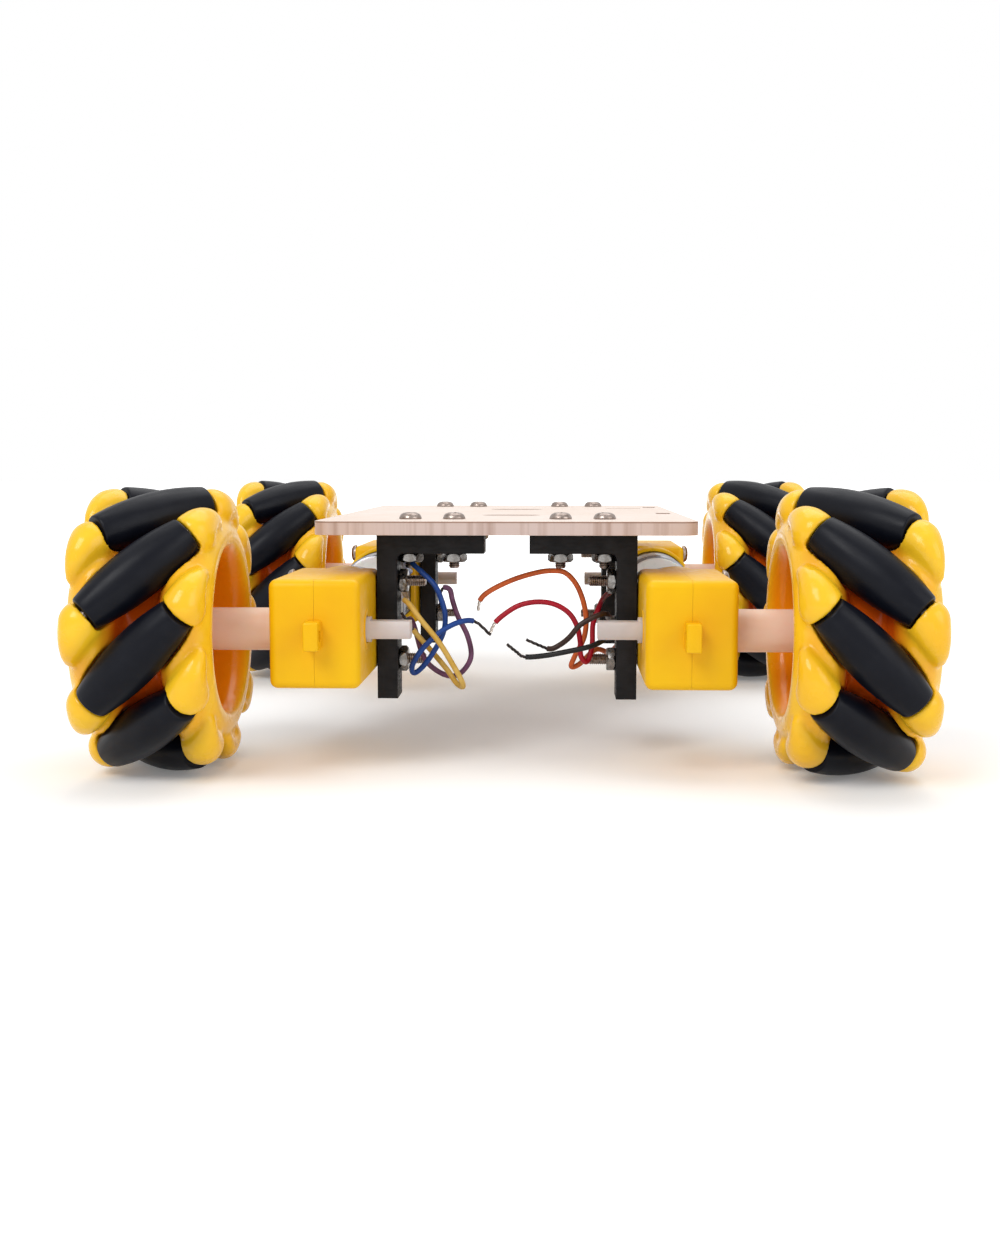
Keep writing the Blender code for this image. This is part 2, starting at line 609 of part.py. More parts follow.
def make_wheel(corner, side, row, first_turn, roller_mesh, collection, cutters, hub_material, tyre_material):
    middle = Vector((side * WHEEL_MIDDLE_X, row * AXLE_Y, AXLE_HEIGHT))
    hub = new_object("hub_" + corner, make_hub_mesh(side, first_turn, cutters), collection)
    hub.location = middle
    finish(hub, hub_material)
    for i in range(ROLLERS_PER_WHEEL):
        turn = first_turn - 2 * math.pi * i / ROLLERS_PER_WHEEL
        roller = new_object("roller_{}_{}".format(corner, i + 1), roller_mesh, collection)
        roller.matrix_world = Matrix.Translation(middle) @ roller_matrix(side, turn)
        finish(roller, tyre_material)


# Wires

def smooth_route(points, spacing):
    """Points at an even spacing on a Catmull-Rom curve through the route's own points."""
    route = [Vector(point) * MM for point in points]
    route = [route[0] * 2 - route[1]] + route + [route[-1] * 2 - route[-2]]
    fine = []
    for a, b, c, d in zip(route, route[1:], route[2:], route[3:]):
        for i in range(20):
            t = i / 20
            fine.append(0.5 * ((2 * b) + (c - a) * t + (2 * a - 5 * b + 4 * c - d) * t * t
                               + (3 * b - a - 3 * c + d) * t * t * t))
    fine.append(route[-2])
    total = sum((q - p).length for p, q in zip(fine, fine[1:]))
    count = max(2, round(total / spacing))
    result = [fine[0]]
    walked = 0.0
    for p, q in zip(fine, fine[1:]):
        step = (q - p).length
        while len(result) < count and walked + step >= total * len(result) / count:
            share = (total * len(result) / count - walked) / step
            result.append(p.lerp(q, share))
        walked += step
    result.append(fine[-1])
    return result


def make_wire(name, collection, material):
    curve = bpy.data.curves.new(name, "CURVE")
    curve.dimensions = "3D"
    curve.bevel_depth = WIRE_DIAMETER / 2
    curve.bevel_resolution = 2
    curve.use_fill_caps = True
    points = smooth_route(WIRE_ROUTES[name], WIRE_SPACING)
    spline = curve.splines.new("POLY")
    spline.points.add(len(points) - 1)
    for point, place in zip(spline.points, points):
        point.co = (*place, 1.0)
    wire = new_object(name, curve, collection)
    wire.data.materials.append(material)


def main():
    clear_scene()
    robot = new_collection("mecanum_wheel_robot")
    cutters = new_collection("cutters")
    deck_material = new_material("deck", (0.80, 0.62, 0.50), 0.55)
    bracket_material = new_material("bracket", (0.012, 0.012, 0.015), 0.6)
    gearbox_material = new_material("gearbox", (0.90, 0.52, 0.02), 0.4)
    motor_material = new_material("motor", (0.55, 0.55, 0.56), 0.35, 0.9)
    hub_material = new_material("hub", (0.90, 0.45, 0.03), 0.2)
    tyre_material = new_material("roller", (0.015, 0.017, 0.022), 0.4)
    make_deck(robot, deck_material)
    roller_mesh = make_roller_mesh(cutters)
    for corner, (side, row, first_turn) in CORNERS.items():
        make_bracket(corner, side, row, robot, cutters, bracket_material)
        make_gearbox(corner, side, row, robot, cutters, gearbox_material)
        make_motor(corner, side, row, robot, cutters, motor_material)
        make_wheel(corner, side, row, first_turn, roller_mesh, robot, cutters, hub_material, tyre_material)
    for name, colour in WIRE_COLOURS.items():
        make_wire(name, robot, new_material(name, colour, 0.4))


main()
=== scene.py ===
"""Looks of the mecanum wheel robot: finishes, lobed hubs, barrel rollers, fasteners and leads."""

import json
import math

import bmesh
import bpy
from mathutils import Matrix, Vector


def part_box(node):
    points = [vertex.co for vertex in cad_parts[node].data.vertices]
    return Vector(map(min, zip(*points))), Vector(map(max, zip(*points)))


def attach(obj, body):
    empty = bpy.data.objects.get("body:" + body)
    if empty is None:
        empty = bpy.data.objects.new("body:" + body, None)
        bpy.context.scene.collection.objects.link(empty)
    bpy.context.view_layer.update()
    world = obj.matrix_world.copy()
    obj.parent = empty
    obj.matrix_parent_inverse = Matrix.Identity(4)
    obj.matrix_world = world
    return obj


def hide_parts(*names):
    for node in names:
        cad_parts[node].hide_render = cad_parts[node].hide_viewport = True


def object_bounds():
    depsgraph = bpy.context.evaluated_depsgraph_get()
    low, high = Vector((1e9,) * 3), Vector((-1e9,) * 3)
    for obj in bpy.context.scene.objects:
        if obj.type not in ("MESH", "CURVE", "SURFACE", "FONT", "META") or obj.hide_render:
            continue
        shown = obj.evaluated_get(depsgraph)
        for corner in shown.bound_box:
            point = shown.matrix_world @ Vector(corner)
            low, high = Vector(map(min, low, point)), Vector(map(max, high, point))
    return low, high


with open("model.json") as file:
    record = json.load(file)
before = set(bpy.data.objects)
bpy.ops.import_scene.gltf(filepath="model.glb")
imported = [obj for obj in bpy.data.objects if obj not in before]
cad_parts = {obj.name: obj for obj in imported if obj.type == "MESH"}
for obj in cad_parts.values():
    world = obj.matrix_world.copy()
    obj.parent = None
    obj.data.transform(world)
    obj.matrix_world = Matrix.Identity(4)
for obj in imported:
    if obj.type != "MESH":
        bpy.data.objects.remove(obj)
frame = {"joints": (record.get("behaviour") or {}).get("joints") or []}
CAD_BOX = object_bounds()
MM = 0.001

CORNERS = {
    "front_left": (-1, -1),
    "front_right": (1, -1),
    "rear_left": (-1, 1),
    "rear_right": (1, 1),
}
JOINTS = {joint["name"]: joint for joint in frame["joints"]}
ROLLERS_PER_WHEEL = 9

# Wheel
WHEEL_RADIUS = 30.0 * MM
HUB_WIDTH = 29.0 * MM
HUB_OPENING_RADIUS = 18.0 * MM
HUB_BORE_RADIUS = 16.4 * MM
HUB_CORE_RADIUS = 18.4 * MM
HUB_FACE_RADIUS = 21.0 * MM
HUB_RIM_RADIUS = 25.4 * MM
HUB_WEB_DEPTH = 5.0 * MM
HUB_WEB_THICKNESS = 3.0 * MM
HUB_BOSS_RADIUS = 7.5 * MM
HUB_BOSS_LENGTH = 8.0 * MM
HUB_BOSS_BORE = 5.0 * MM
HUB_SCREW_DEPTH = 3.0 * MM
HUB_SCREW_LENGTH = 6.0 * MM
ROLLER_AXIS_RADIUS = 24.7 * MM
ROLLER_LENGTH = 25.6 * MM
ROLLER_TILT = math.radians(45.0)
ROLLER_END_ROUNDING = 0.5 * MM
PIN_RADIUS = 0.9 * MM
PIN_PLAY = 0.15 * MM
PIN_REACH = 1.4 * MM
LOBE_BALLS = 6
LOBE_PAST_ROLLER = 2.3 * MM
LOBE_RADIUS = 4.5 * MM
LOBE_REACH = 29.6 * MM
LOBE_TAIL_RADIUS = 1.7 * MM
LOBE_TAIL_REACH = 25.4 * MM
LOBE_TAIL_LENGTH = 9.0 * MM
LOBE_TAIL_SHIFT = 2.0 * MM
POCKET_GAP = 0.45 * MM
POCKET_END_GAP = 0.4 * MM
COUPLER_RADIUS = 4.5 * MM
COUPLER_MOUTH_RADIUS = 3.4 * MM
COUPLER_MOUTH_DEPTH = 1.0 * MM
COUPLER_GAP = 0.3 * MM
COUPLER_END_DEPTH = 7.0 * MM
SHAFT_RADIUS = 2.7 * MM
SHAFT_FLAT = 1.85 * MM
SHAFT_LENGTH = 36.0 * MM
SHAFT_STUB = 8.4 * MM
SHAFT_PAST_GEARBOX = 9.4 * MM

# Gear motor
GEARBOX_NOSE = 11.2 * MM
GEARBOX_LENGTH = 37.0 * MM
GEARBOX_ROUNDING = 1.7 * MM
GEARBOX_SEAM = 0.04 * MM
COLLAR_RADIUS = 4.2 * MM
COLLAR_HEIGHT = 0.15 * MM
TAB_WIDTH = 3.1 * MM
TAB_HEIGHT = 5.8 * MM
TAB_LENGTH = 5.0 * MM
TAB_SEAT = 0.3 * MM
TAB_HOLE_RADIUS = 1.2 * MM
CRADLE_RADIUS = 11.2 * MM
CRADLE_INSET = 0.4 * MM
CRADLE_ROOT = 3.0 * MM
CRADLE_LENGTH = 9.0 * MM
CAN_RADIUS = 10.05 * MM
CAN_FLAT = 7.55 * MM
CAN_LENGTH = 26.0 * MM
CAN_GAP = 0.3 * MM
CAN_CLEARANCE = 0.25 * MM
CAP_LIP = 1.2 * MM
CAP_DEPTH = 2.0 * MM
CAP_BOSS_RADIUS = 3.2 * MM
CAP_BOSS_HEIGHT = 1.2 * MM
BEARING_RADIUS = 1.1 * MM
BEARING_HEIGHT = 1.6 * MM
TERMINAL_SPACING = 8.0 * MM
TERMINAL_SIZE = Vector((1.6, 2.2, 0.6)) * MM

# Deck and brackets
DECK_CORNER = 4.0 * MM
DECK_ROUNDING = 0.12 * MM
CABLE_SLOT = (14.0 * MM, 6.0 * MM)
CABLE_SLOT_CORNER = 2.9 * MM
CABLE_SLOT_Y = 25.0 * MM
EDGE_SLOT = (3.5 * MM, 8.0 * MM)
EDGE_SLOT_PLACES = ((37.5 * MM, -10.5 * MM), (37.5 * MM, 47.0 * MM))
CROSS_SLOT = (9.7 * MM, 3.5 * MM)
CROSS_SLOT_PLACE = (29.5 * MM, 35.0 * MM)
SMALL_SLOT_CORNER = 0.5 * MM
BRACKET_LEG = 4.5 * MM
BRACKET_FLANGE = 4.2 * MM
BRACKET_FILLET = 1.5 * MM
BRACKET_ROUNDING = 0.35 * MM

# Fasteners
MOTOR_BOLT_BEHIND_AXLE = 20.7 * MM
MOTOR_BOLT_SPACING = 17.5 * MM
MOTOR_BOLT_TIP = 6.0 * MM
MOTOR_BOLT_THREAD = 6.5 * MM
DECK_SCREW_X = (11.85 * MM, 21.6 * MM)
DECK_SCREW_TIP = 3.4 * MM
DECK_SCREW_THREAD = 3.0 * MM
BOLT_HOLE_RADIUS = 1.4 * MM
SCREW_HEAD_RADIUS = 2.5 * MM
SCREW_HEAD_HEIGHT = 1.5 * MM
SCREW_SHANK_RADIUS = 1.22 * MM
SCREW_CHAMFER = 0.3 * MM
RECESS_LENGTH = 2.7 * MM
RECESS_WIDTH = 0.48 * MM
RECESS_DEPTH = 0.75 * MM
THREAD_RADIUS = 1.24 * MM
THREAD_DEPTH = 0.16 * MM
THREAD_PITCH = 0.45 * MM
NUT_ACROSS = 5.0 * MM
NUT_THICKNESS = 2.0 * MM
NUT_HOLE_RADIUS = 1.3 * MM
NUT_GAP = 0.05 * MM

# Leads: the CAD's route points in millimetres, from the motor's terminal to the free end
WIRE_DIAMETER = 1.2 * MM
STRAND_RADIUS = 0.17 * MM
STRAND_SPREAD = 0.2 * MM
BARE_LENGTH = 5.0 * MM
SHORT_BARE_LENGTHS = {"wire_orange": 2.2 * MM, "wire_red": 2.8 * MM}
BRIGHT_TIPS = ("wire_orange", "wire_red")
WIRE_ROUTES = {
    "wire_yellow": (
        (-38.4, -20.4, 34), (-38.0, -16.4, 34), (-33, -14, 34.4), (-27, -19, 35), (-25.2, -34, 34.8),
        (-23.3, -46, 34.2), (-22.8, -53, 34.3), (-22.3, -60, 34.9), (-20.8, -64.4, 34.3),
        (-18.2, -66.4, 31.2), (-14.4, -66.8, 26.6), (-11.4, -66.8, 21.7), (-9.5, -66.4, 18.1),
        (-9.3, -64.8, 16.5), (-10.8, -62.4, 16.9), (-13.2, -60.6, 19.9), (-16.6, -58.9, 23.6),
        (-19.4, -59, 26.8), (-21.6, -60, 29.8), (-22.9, -61.2, 32.2),
    ),
    "wire_purple": (
        (-38.4, -20.4, 26), (-38.0, -16.4, 26), (-33, -14, 26.2), (-27, -19, 27), (-25.2, -34, 27.8),
        (-23.4, -46, 28.6), (-22, -52, 30), (-20.6, -57, 29), (-18.6, -57.5, 22.4), (-16.2, -57, 19.4),
        (-13, -57, 17.8), (-10.6, -57, 18.2), (-8.6, -57, 20.4), (-7.9, -57, 23), (-8.8, -57, 27),
        (-10.8, -57, 31), (-12, -57, 34.6), (-12.6, -57, 37), (-14, -57, 37.4), (-14.8, -57, 35.6),
        (-14.6, -57, 32.6),
    ),
    "wire_blue": (
        (-38.4, 20.4, 34), (-38.0, 16.4, 34), (-33, 12.5, 35), (-27, 0, 37), (-25.4, -28, 40),
        (-22.6, -46, 42.8), (-20.6, -56, 42.4), (-16, -60, 38.6), (-14.2, -60.4, 35), (-13.4, -60.4, 31.4),
        (-13.9, -60.6, 27.6), (-16.2, -61.3, 23.2), (-18.7, -61.6, 20), (-20.2, -62.7, 19.2),
        (-20.4, -64.2, 20.8), (-19.2, -65, 23.2), (-17.1, -65, 25.8), (-13.9, -64.2, 28.6),
        (-10.2, -63, 30.4), (-6.8, -61.6, 30.4), (-3.4, -61, 27.4),
    ),
    "wire_red": (
        (38.4, -20.4, 34), (38.0, -16.4, 34), (33, -14, 34.4), (27, -19, 35), (25.2, -34, 35.6),
        (24, -42, 35.8), (21.6, -49, 34.6), (20.2, -54.4, 32.4), (19.1, -55, 29.2), (18.9, -56, 24.6),
        (17.8, -57.4, 21.2), (16.4, -58.6, 22.6), (16.2, -58.6, 26), (15.4, -58, 29.4), (13.6, -57.6, 32.1),
        (10.5, -57.4, 33.9), (6.8, -57.4, 34.4), (3, -57.4, 33.7), (0, -57.4, 32), (-2.5, -57.4, 29.8),
        (-3.7, -57.4, 27.4),
    ),
    "wire_brown": (
        (38.4, -20.4, 26), (38.0, -16.4, 26), (33, -14, 26.4), (27, -19, 27.6), (25.3, -34, 28.8),
        (24, -44, 29.5), (22.7, -50, 30.2), (22.3, -57, 31.6), (20.4, -61.4, 32), (16.3, -62, 29.9),
        (13.8, -61.6, 27), (11.6, -61, 25.2), (9.6, -61, 24.4), (7.2, -61, 25.2), (4.4, -61, 26.4),
    ),
    "wire_orange": (
        (38.4, 20.4, 26), (38.0, 16.4, 26), (33, 12.5, 25), (27.4, -5, 22), (25.6, -25, 21), (23, -43, 21.6),
        (19.9, -48, 22.7), (16.2, -48.4, 19.4), (14.4, -49, 19), (15.2, -50.5, 21.6), (17.2, -52.6, 26),
        (17.6, -53, 30.6), (16.7, -53.4, 35), (15.1, -53.4, 38.4), (12.8, -53, 40.6), (10, -53, 41),
        (6.7, -53, 40.6), (1.6, -53, 39.1), (-3.3, -53, 36.8), (-5.9, -53, 34.7), (-6.6, -53, 32),
    ),
    "wire_black": (
        (38.4, 20.4, 34), (38.0, 16.4, 34), (33, 12.5, 33), (27.6, -4, 28), (26.2, -20, 24.8),
        (24.7, -40, 25.2), (22.9, -50, 26.4), (21.8, -60, 26.6), (18.5, -64, 25.4), (13, -64.6, 24.2),
        (8, -64.6, 23.3), (4, -64.6, 23.1), (2.3, -64.6, 24.2), (0.3, -64.6, 25.8),
    ),
}


# Camera, light and floor

CAMERA_PLACE = Vector((10.74, -387.96, 63.95)) * MM
CAMERA_PITCH = math.radians(5.99)
CAMERA_YAW = math.radians(2.118)
LENS = 43.3


def link(name, data):
    item = bpy.data.objects.new(name, data)
    bpy.context.scene.collection.objects.link(item)
    return item


def make_camera():
    data = bpy.data.cameras.new("camera")
    data.lens = LENS
    data.sensor_width = 36.0
    data.clip_start = 0.01
    data.clip_end = 20.0
    camera = link("camera", data)
    camera.location = CAMERA_PLACE
    camera.rotation_euler = (math.pi / 2 - CAMERA_PITCH, 0, CAMERA_YAW)
    bpy.context.scene.camera = camera


def make_softbox(name, place, size, power):
    data = bpy.data.lights.new(name, "AREA")
    data.shape = "RECTANGLE"
    data.size, data.size_y = size
    data.energy = power
    lamp = link(name, data)
    lamp.location = place
    lamp.rotation_mode = "QUATERNION"
    lamp.rotation_quaternion = (LAMP_TARGET - Vector(place)).to_track_quat("-Z", "Y")


def math_node(nodes, links, operation, first, second=None):
    node = nodes.new("ShaderNodeMath")
    node.operation = operation
    links.new(first, node.inputs[0])
    if second is not None:
        links.new(second, node.inputs[1])
    return node.outputs[0]


def range_node(nodes, links, source, low, high, start=0.0, end=1.0):
    """Turns a value between start and end into one between low and high."""
    node = nodes.new("ShaderNodeMapRange")
    for name, value in {"From Min": start, "From Max": end, "To Min": low, "To Max": high}.items():
        node.inputs[name].default_value = value
    links.new(source, node.inputs["Value"])
    return node.outputs["Result"]


def plain_rays(nodes, links):
    """One for rays that show the background: camera, glossy and transmission rays."""
    rays = nodes.new("ShaderNodeLightPath").outputs
    value = math_node(nodes, links, "MAXIMUM", rays["Is Camera Ray"], rays["Is Glossy Ray"])
    return math_node(nodes, links, "MAXIMUM", value, rays["Is Transmission Ray"])


WORLD_LIGHT = 0.5
FLOOR_SIZE = 12.0
FLOOR_COLOUR = (0.93, 0.93, 0.93, 1)
FLOOR_LIFT = 0.14
FLOOR_FADE = (0.18, 0.7)
LAMP_TARGET = Vector((0, 0, 0.03))
LAMPS = {
    "key": ((-0.45, -0.75, 0.75), (0.5, 0.5), 5.0),
    "fill": ((0.75, -0.55, 0.45), (0.6, 0.6), 2.2),
    "top": ((0.1, 0.25, 0.95), (0.9, 0.9), 4.0),
}


def make_world():
    """White to the camera and in reflections, dimmer as a lamp."""
    world = bpy.data.worlds.new("studio")
    bpy.context.scene.world = world
    world.use_nodes = True
    nodes, links = world.node_tree.nodes, world.node_tree.links
    background = nodes["Background"]
    background.inputs["Color"].default_value = (1, 1, 1, 1)
    strength = range_node(nodes, links, plain_rays(nodes, links), WORLD_LIGHT, 1.0)
    links.new(strength, background.inputs["Strength"])


def floor_finish():
    """Pale floor that fades to plain white with distance from the robot."""
    material = bpy.data.materials.new("floor")
    material.use_nodes = True
    nodes, links = material.node_tree.nodes, material.node_tree.links
    nodes.clear()
    diffuse = nodes.new("ShaderNodeBsdfDiffuse")
    diffuse.inputs["Color"].default_value = FLOOR_COLOUR
    glow = nodes.new("ShaderNodeEmission")
    place = nodes.new("ShaderNodeNewGeometry")
    distance = nodes.new("ShaderNodeVectorMath")
    distance.operation = "LENGTH"
    links.new(place.outputs["Position"], distance.inputs[0])
    fade = range_node(nodes, links, distance.outputs["Value"], FLOOR_LIFT, 1.0, *FLOOR_FADE)
    lift = math_node(nodes, links, "MULTIPLY", plain_rays(nodes, links), fade)
    both = nodes.new("ShaderNodeAddShader")
    out = nodes.new("ShaderNodeOutputMaterial")
    links.new(lift, glow.inputs["Strength"])
    links.new(diffuse.outputs[0], both.inputs[0])
    links.new(glow.outputs[0], both.inputs[1])
    links.new(both.outputs[0], out.inputs["Surface"])
    return material


def make_stage():
    bpy.context.scene.view_settings.view_transform = "Standard"
    make_world()
    shape = bmesh.new()
    bmesh.ops.create_grid(shape, x_segments=1, y_segments=1, size=FLOOR_SIZE / 2)
    mesh = mesh_of(shape, "floor")
    mesh.materials.append(floor_finish())
    floor = link("floor", mesh)
    floor.location.z = CAD_BOX[0].z
    for name, (place, size, power) in LAMPS.items():
        make_softbox(name, place, size, power)


# Materials

class Finish:
    """A Principled material with a small procedural node set."""

    def __init__(self, name, colour, roughness, metallic=0.0):
        self.material = bpy.data.materials.new(name)
        self.material.use_nodes = True
        self.nodes = self.material.node_tree.nodes
        self.links = self.material.node_tree.links
        self.shader = self.nodes["Principled BSDF"]
        self.colour = colour
        self.set("Base Color", (*colour, 1))
        self.set("Roughness", roughness)
        self.set("Metallic", metallic)
        self.place = self.nodes.new("ShaderNodeTexCoord").outputs["Object"]
        self.normal = None

    def set(self, name, value):
        self.shader.inputs[name].default_value = value

    def noise(self, scale, detail=3.0, stretch=(1, 1, 1), distortion=0.0):
        mapping = self.nodes.new("ShaderNodeMapping")
        mapping.inputs["Scale"].default_value = stretch
        texture = self.nodes.new("ShaderNodeTexNoise")
        texture.inputs["Scale"].default_value = scale
        texture.inputs["Detail"].default_value = detail
        texture.inputs["Distortion"].default_value = distortion
        self.links.new(self.place, mapping.inputs["Vector"])
        self.links.new(mapping.outputs["Vector"], texture.inputs["Vector"])
        return texture.outputs["Fac"]

    def waves(self, scale, axis, distortion=0.5):
        texture = self.nodes.new("ShaderNodeTexWave")
        texture.wave_type = "BANDS"
        texture.bands_direction = axis
        texture.inputs["Scale"].default_value = scale
        texture.inputs["Distortion"].default_value = distortion
        texture.inputs["Detail"].default_value = 2.0
        texture.inputs["Detail Scale"].default_value = 1.5
        self.links.new(self.place, texture.inputs["Vector"])
        return texture.outputs["Fac"]

    def maths(self, operation, first, second=None):
        return math_node(self.nodes, self.links, operation, first, second)

    def product(self, first, second):
        return self.maths("MULTIPLY", first, second)

    def part_of(self, source, axis):
        split = self.nodes.new("ShaderNodeSeparateXYZ")
        self.links.new(source, split.inputs[0])
        return split.outputs[axis]

    def height(self):
        return self.part_of(self.place, "Z")

    def offset(self, axis):
        """Distance from the piece's middle along one of its axes."""
        return self.maths("ABSOLUTE", self.part_of(self.place, axis))

    def distance_from_axis(self):
        """Distance from the piece's own X axis."""
        across = self.nodes.new("ShaderNodeCombineXYZ")
        for axis in "YZ":
            self.links.new(self.part_of(self.place, axis), across.inputs[axis])
        length = self.nodes.new("ShaderNodeVectorMath")
        length.operation = "LENGTH"
        self.links.new(across.outputs[0], length.inputs[0])
        return length.outputs["Value"]

    def facing_up(self):
        """One on faces that lie flat, zero on upright ones."""
        normal = self.nodes.new("ShaderNodeTexCoord").outputs["Normal"]
        return self.maths("ABSOLUTE", self.part_of(normal, "Z"))

    def ramp(self, source, low, high, start=0.35, end=0.65):
        return range_node(self.nodes, self.links, source, low, high, start, end)

    def vary_roughness(self, source, low, high):
        self.links.new(self.ramp(source, low, high), self.shader.inputs["Roughness"])

    def vary_colour(self, source, other, start=0.35, end=0.65):
        mix = self.nodes.new("ShaderNodeMix")
        mix.data_type = "RGBA"
        current = self.shader.inputs["Base Color"]
        if current.is_linked:
            self.links.new(current.links[0].from_socket, mix.inputs[6])
        else:
            mix.inputs[6].default_value = (*self.colour, 1)
        mix.inputs[7].default_value = (*other, 1)
        self.links.new(self.ramp(source, 0.0, 1.0, start, end), mix.inputs[0])
        self.links.new(mix.outputs[2], self.shader.inputs["Base Color"])

    def bump(self, source, distance, strength=1.0):
        node = self.nodes.new("ShaderNodeBump")
        node.inputs["Distance"].default_value = distance
        node.inputs["Strength"].default_value = strength
        self.links.new(source, node.inputs["Height"])
        if self.normal is not None:
            self.links.new(self.normal, node.inputs["Normal"])
        self.normal = node.outputs["Normal"]
        self.links.new(self.normal, self.shader.inputs["Normal"])


def hub_finish():
    """Glossy moulded yellow plastic, with orange-red painted shade in the grooves and inside the opening."""
    look = Finish("hub_gloss", (0.95, 0.57, 0.02), 0.24)
    look.set("Specular IOR Level", 0.25)
    look.set("Coat Weight", 0.15)
    look.set("Coat Roughness", 0.05)
    look.vary_colour(look.noise(90, 3), (0.93, 0.49, 0.012), 0.4, 0.75)
    radius = look.distance_from_axis()
    # Painted shade: orange-red fills the sunken rim between the lobes, towards the middle of the hub's width,
    # in place of shade in the plastic.
    painted_groove_shade = look.product(look.ramp(radius, 1.0, 0.0, 21.5 * MM, 26.0 * MM),
                          look.ramp(look.offset("X"), 1.0, 0.0, 9.0 * MM, 13.0 * MM))
    look.vary_colour(painted_groove_shade, (0.95, 0.13, 0.004), 0.0, 1.0)
    # Painted shade: deep orange on the opening's inner wall, by distance from the axle.
    look.vary_colour(look.ramp(radius, 1.0, 0.0, 17.0 * MM, 18.2 * MM), (0.98, 0.36, 0.004), 0.0, 1.0)
    look.vary_roughness(look.noise(300, 4), 0.17, 0.3)
    look.bump(look.noise(160, 2), 0.06 * MM, 0.5)
    look.bump(look.noise(2600, 2), 0.006 * MM, 0.4)
    return look.material


def gearbox_finish():
    look = Finish("gearbox_satin", (0.87, 0.50, 0.002), 0.36)
    look.set("Specular IOR Level", 0.2)
    look.vary_colour(look.noise(60, 3), (0.84, 0.43, 0.003), 0.4, 0.75)
    look.vary_roughness(look.noise(700, 4), 0.3, 0.46)
    look.bump(look.noise(3200, 2), 0.01 * MM, 0.6)
    return look.material


def roller_finish():
    look = Finish("roller_rubber", (0.0035, 0.0042, 0.008), 0.34)
    look.set("Specular IOR Level", 0.14)
    look.vary_colour(look.noise(240, 4), (0.006, 0.007, 0.0115), 0.45, 0.8)
    look.vary_roughness(look.noise(500, 4, (1, 1, 0.25)), 0.3, 0.44)
    look.bump(look.noise(2400, 3), 0.008 * MM, 0.6)
    look.bump(look.noise(500, 3, (1, 1, 0.2)), 0.012 * MM, 0.5)
    return look.material


def nylon_finish(name, colour, other):
    look = Finish(name, colour, 0.4)
    look.set("Subsurface Weight", 0.35)
    look.set("Subsurface Radius", (1.0, 0.6, 0.4))
    look.set("Subsurface Scale", 1.5 * MM)
    look.vary_colour(look.noise(120, 3), other, 0.4, 0.7)
    look.bump(look.noise(1500, 2), 0.01 * MM, 0.5)
    return look.material


def deck_finish(thickness):
    """Pale film over clear sheet: the cut edge is greyer, streaked upright, with a brown burnt top line."""
    look = Finish("deck_sheet", (0.80, 0.66, 0.57), 0.5)
    look.vary_colour(look.noise(30, 5, (1, 0.35, 1), 0.6), (0.86, 0.74, 0.67), 0.35, 0.7)
    side = look.ramp(look.facing_up(), 1.0, 0.0, 0.3, 0.8)
    look.vary_colour(side, (0.60, 0.47, 0.43), 0.0, 1.0)
    streaks = look.ramp(look.noise(420, 4, (1, 1, 0.02)), 0.0, 1.0, 0.5, 0.72)
    look.vary_colour(look.product(side, streaks), (0.40, 0.27, 0.22), 0.0, 1.0)
    rim = look.ramp(look.height(), 0.0, 1.0, thickness / 2 - 0.42 * MM, thickness / 2 - 0.3 * MM)
    look.vary_colour(look.product(side, rim), (0.24, 0.12, 0.07), 0.0, 1.25)
    look.vary_roughness(look.noise(260, 4), 0.42, 0.62)
    look.bump(look.noise(900, 3, (1, 1, 0.02)), 0.03 * MM, 0.8)
    return look.material


def bracket_finish():
    look = Finish("bracket_print", (0.0045, 0.0042, 0.005), 0.45)
    look.set("Specular IOR Level", 0.18)
    look.vary_colour(look.noise(160, 4), (0.015, 0.0135, 0.0145), 0.4, 0.75)
    look.vary_roughness(look.noise(420, 3, (1, 1, 4)), 0.36, 0.6)
    look.bump(look.waves(1250, "Y", 0.6), 0.05 * MM, 0.8)
    look.bump(look.noise(900, 4), 0.03 * MM, 0.6)
    return look.material


def steel_finish(name, colour, other):
    look = Finish(name, colour, 0.25, 1.0)
    look.vary_colour(look.noise(900, 3), other, 0.45, 0.8)
    look.vary_roughness(look.noise(1200, 4), 0.18, 0.42)
    look.bump(look.noise(3000, 3), 0.006 * MM, 0.6)
    return look.material


def can_finish():
    look = Finish("motor_can", (0.30, 0.30, 0.32), 0.32, 1.0)
    look.vary_roughness(look.noise(260, 4, (1, 0.1, 1)), 0.24, 0.45)
    look.bump(look.noise(900, 3, (1, 0.08, 1)), 0.01 * MM, 0.7)
    return look.material


def cap_finish():
    look = Finish("motor_cap", (0.80, 0.80, 0.78), 0.3)
    look.set("Subsurface Weight", 0.2)
    look.set("Subsurface Scale", 1.0 * MM)
    look.vary_roughness(look.noise(400, 3), 0.25, 0.4)
    look.bump(look.noise(1200, 2), 0.01 * MM, 0.5)
    return look.material


def wire_finish(name, colour, other):
    look = Finish(name, colour, 0.36)
    look.set("Specular IOR Level", 0.25)
    look.vary_colour(look.noise(260, 3), other, 0.4, 0.75)
    look.vary_roughness(look.noise(900, 3), 0.3, 0.46)
    look.bump(look.noise(2500, 3), 0.015 * MM, 0.6)
    return look.material


# Mesh tools

def mesh_of(shape, name):
    """The bmesh as a mesh; the bmesh is freed."""
    mesh = bpy.data.meshes.new(name)
    shape.to_mesh(mesh)
    shape.free()
    return mesh


def evaluated_mesh(item):
    graph = bpy.context.evaluated_depsgraph_get()
    graph.update()
    return bpy.data.meshes.new_from_object(item.evaluated_get(graph))


def discard(item):
    bpy.data.objects.remove(item, do_unlink=True)


def bake(item):
    """The item's mesh with its modifiers applied; the item is removed."""
    mesh = evaluated_mesh(item)
    discard(item)
    return mesh


def smooth(mesh, degrees=35.0):
    mesh.shade_smooth()
    mesh.set_sharp_from_angle(angle=math.radians(degrees))
    return mesh


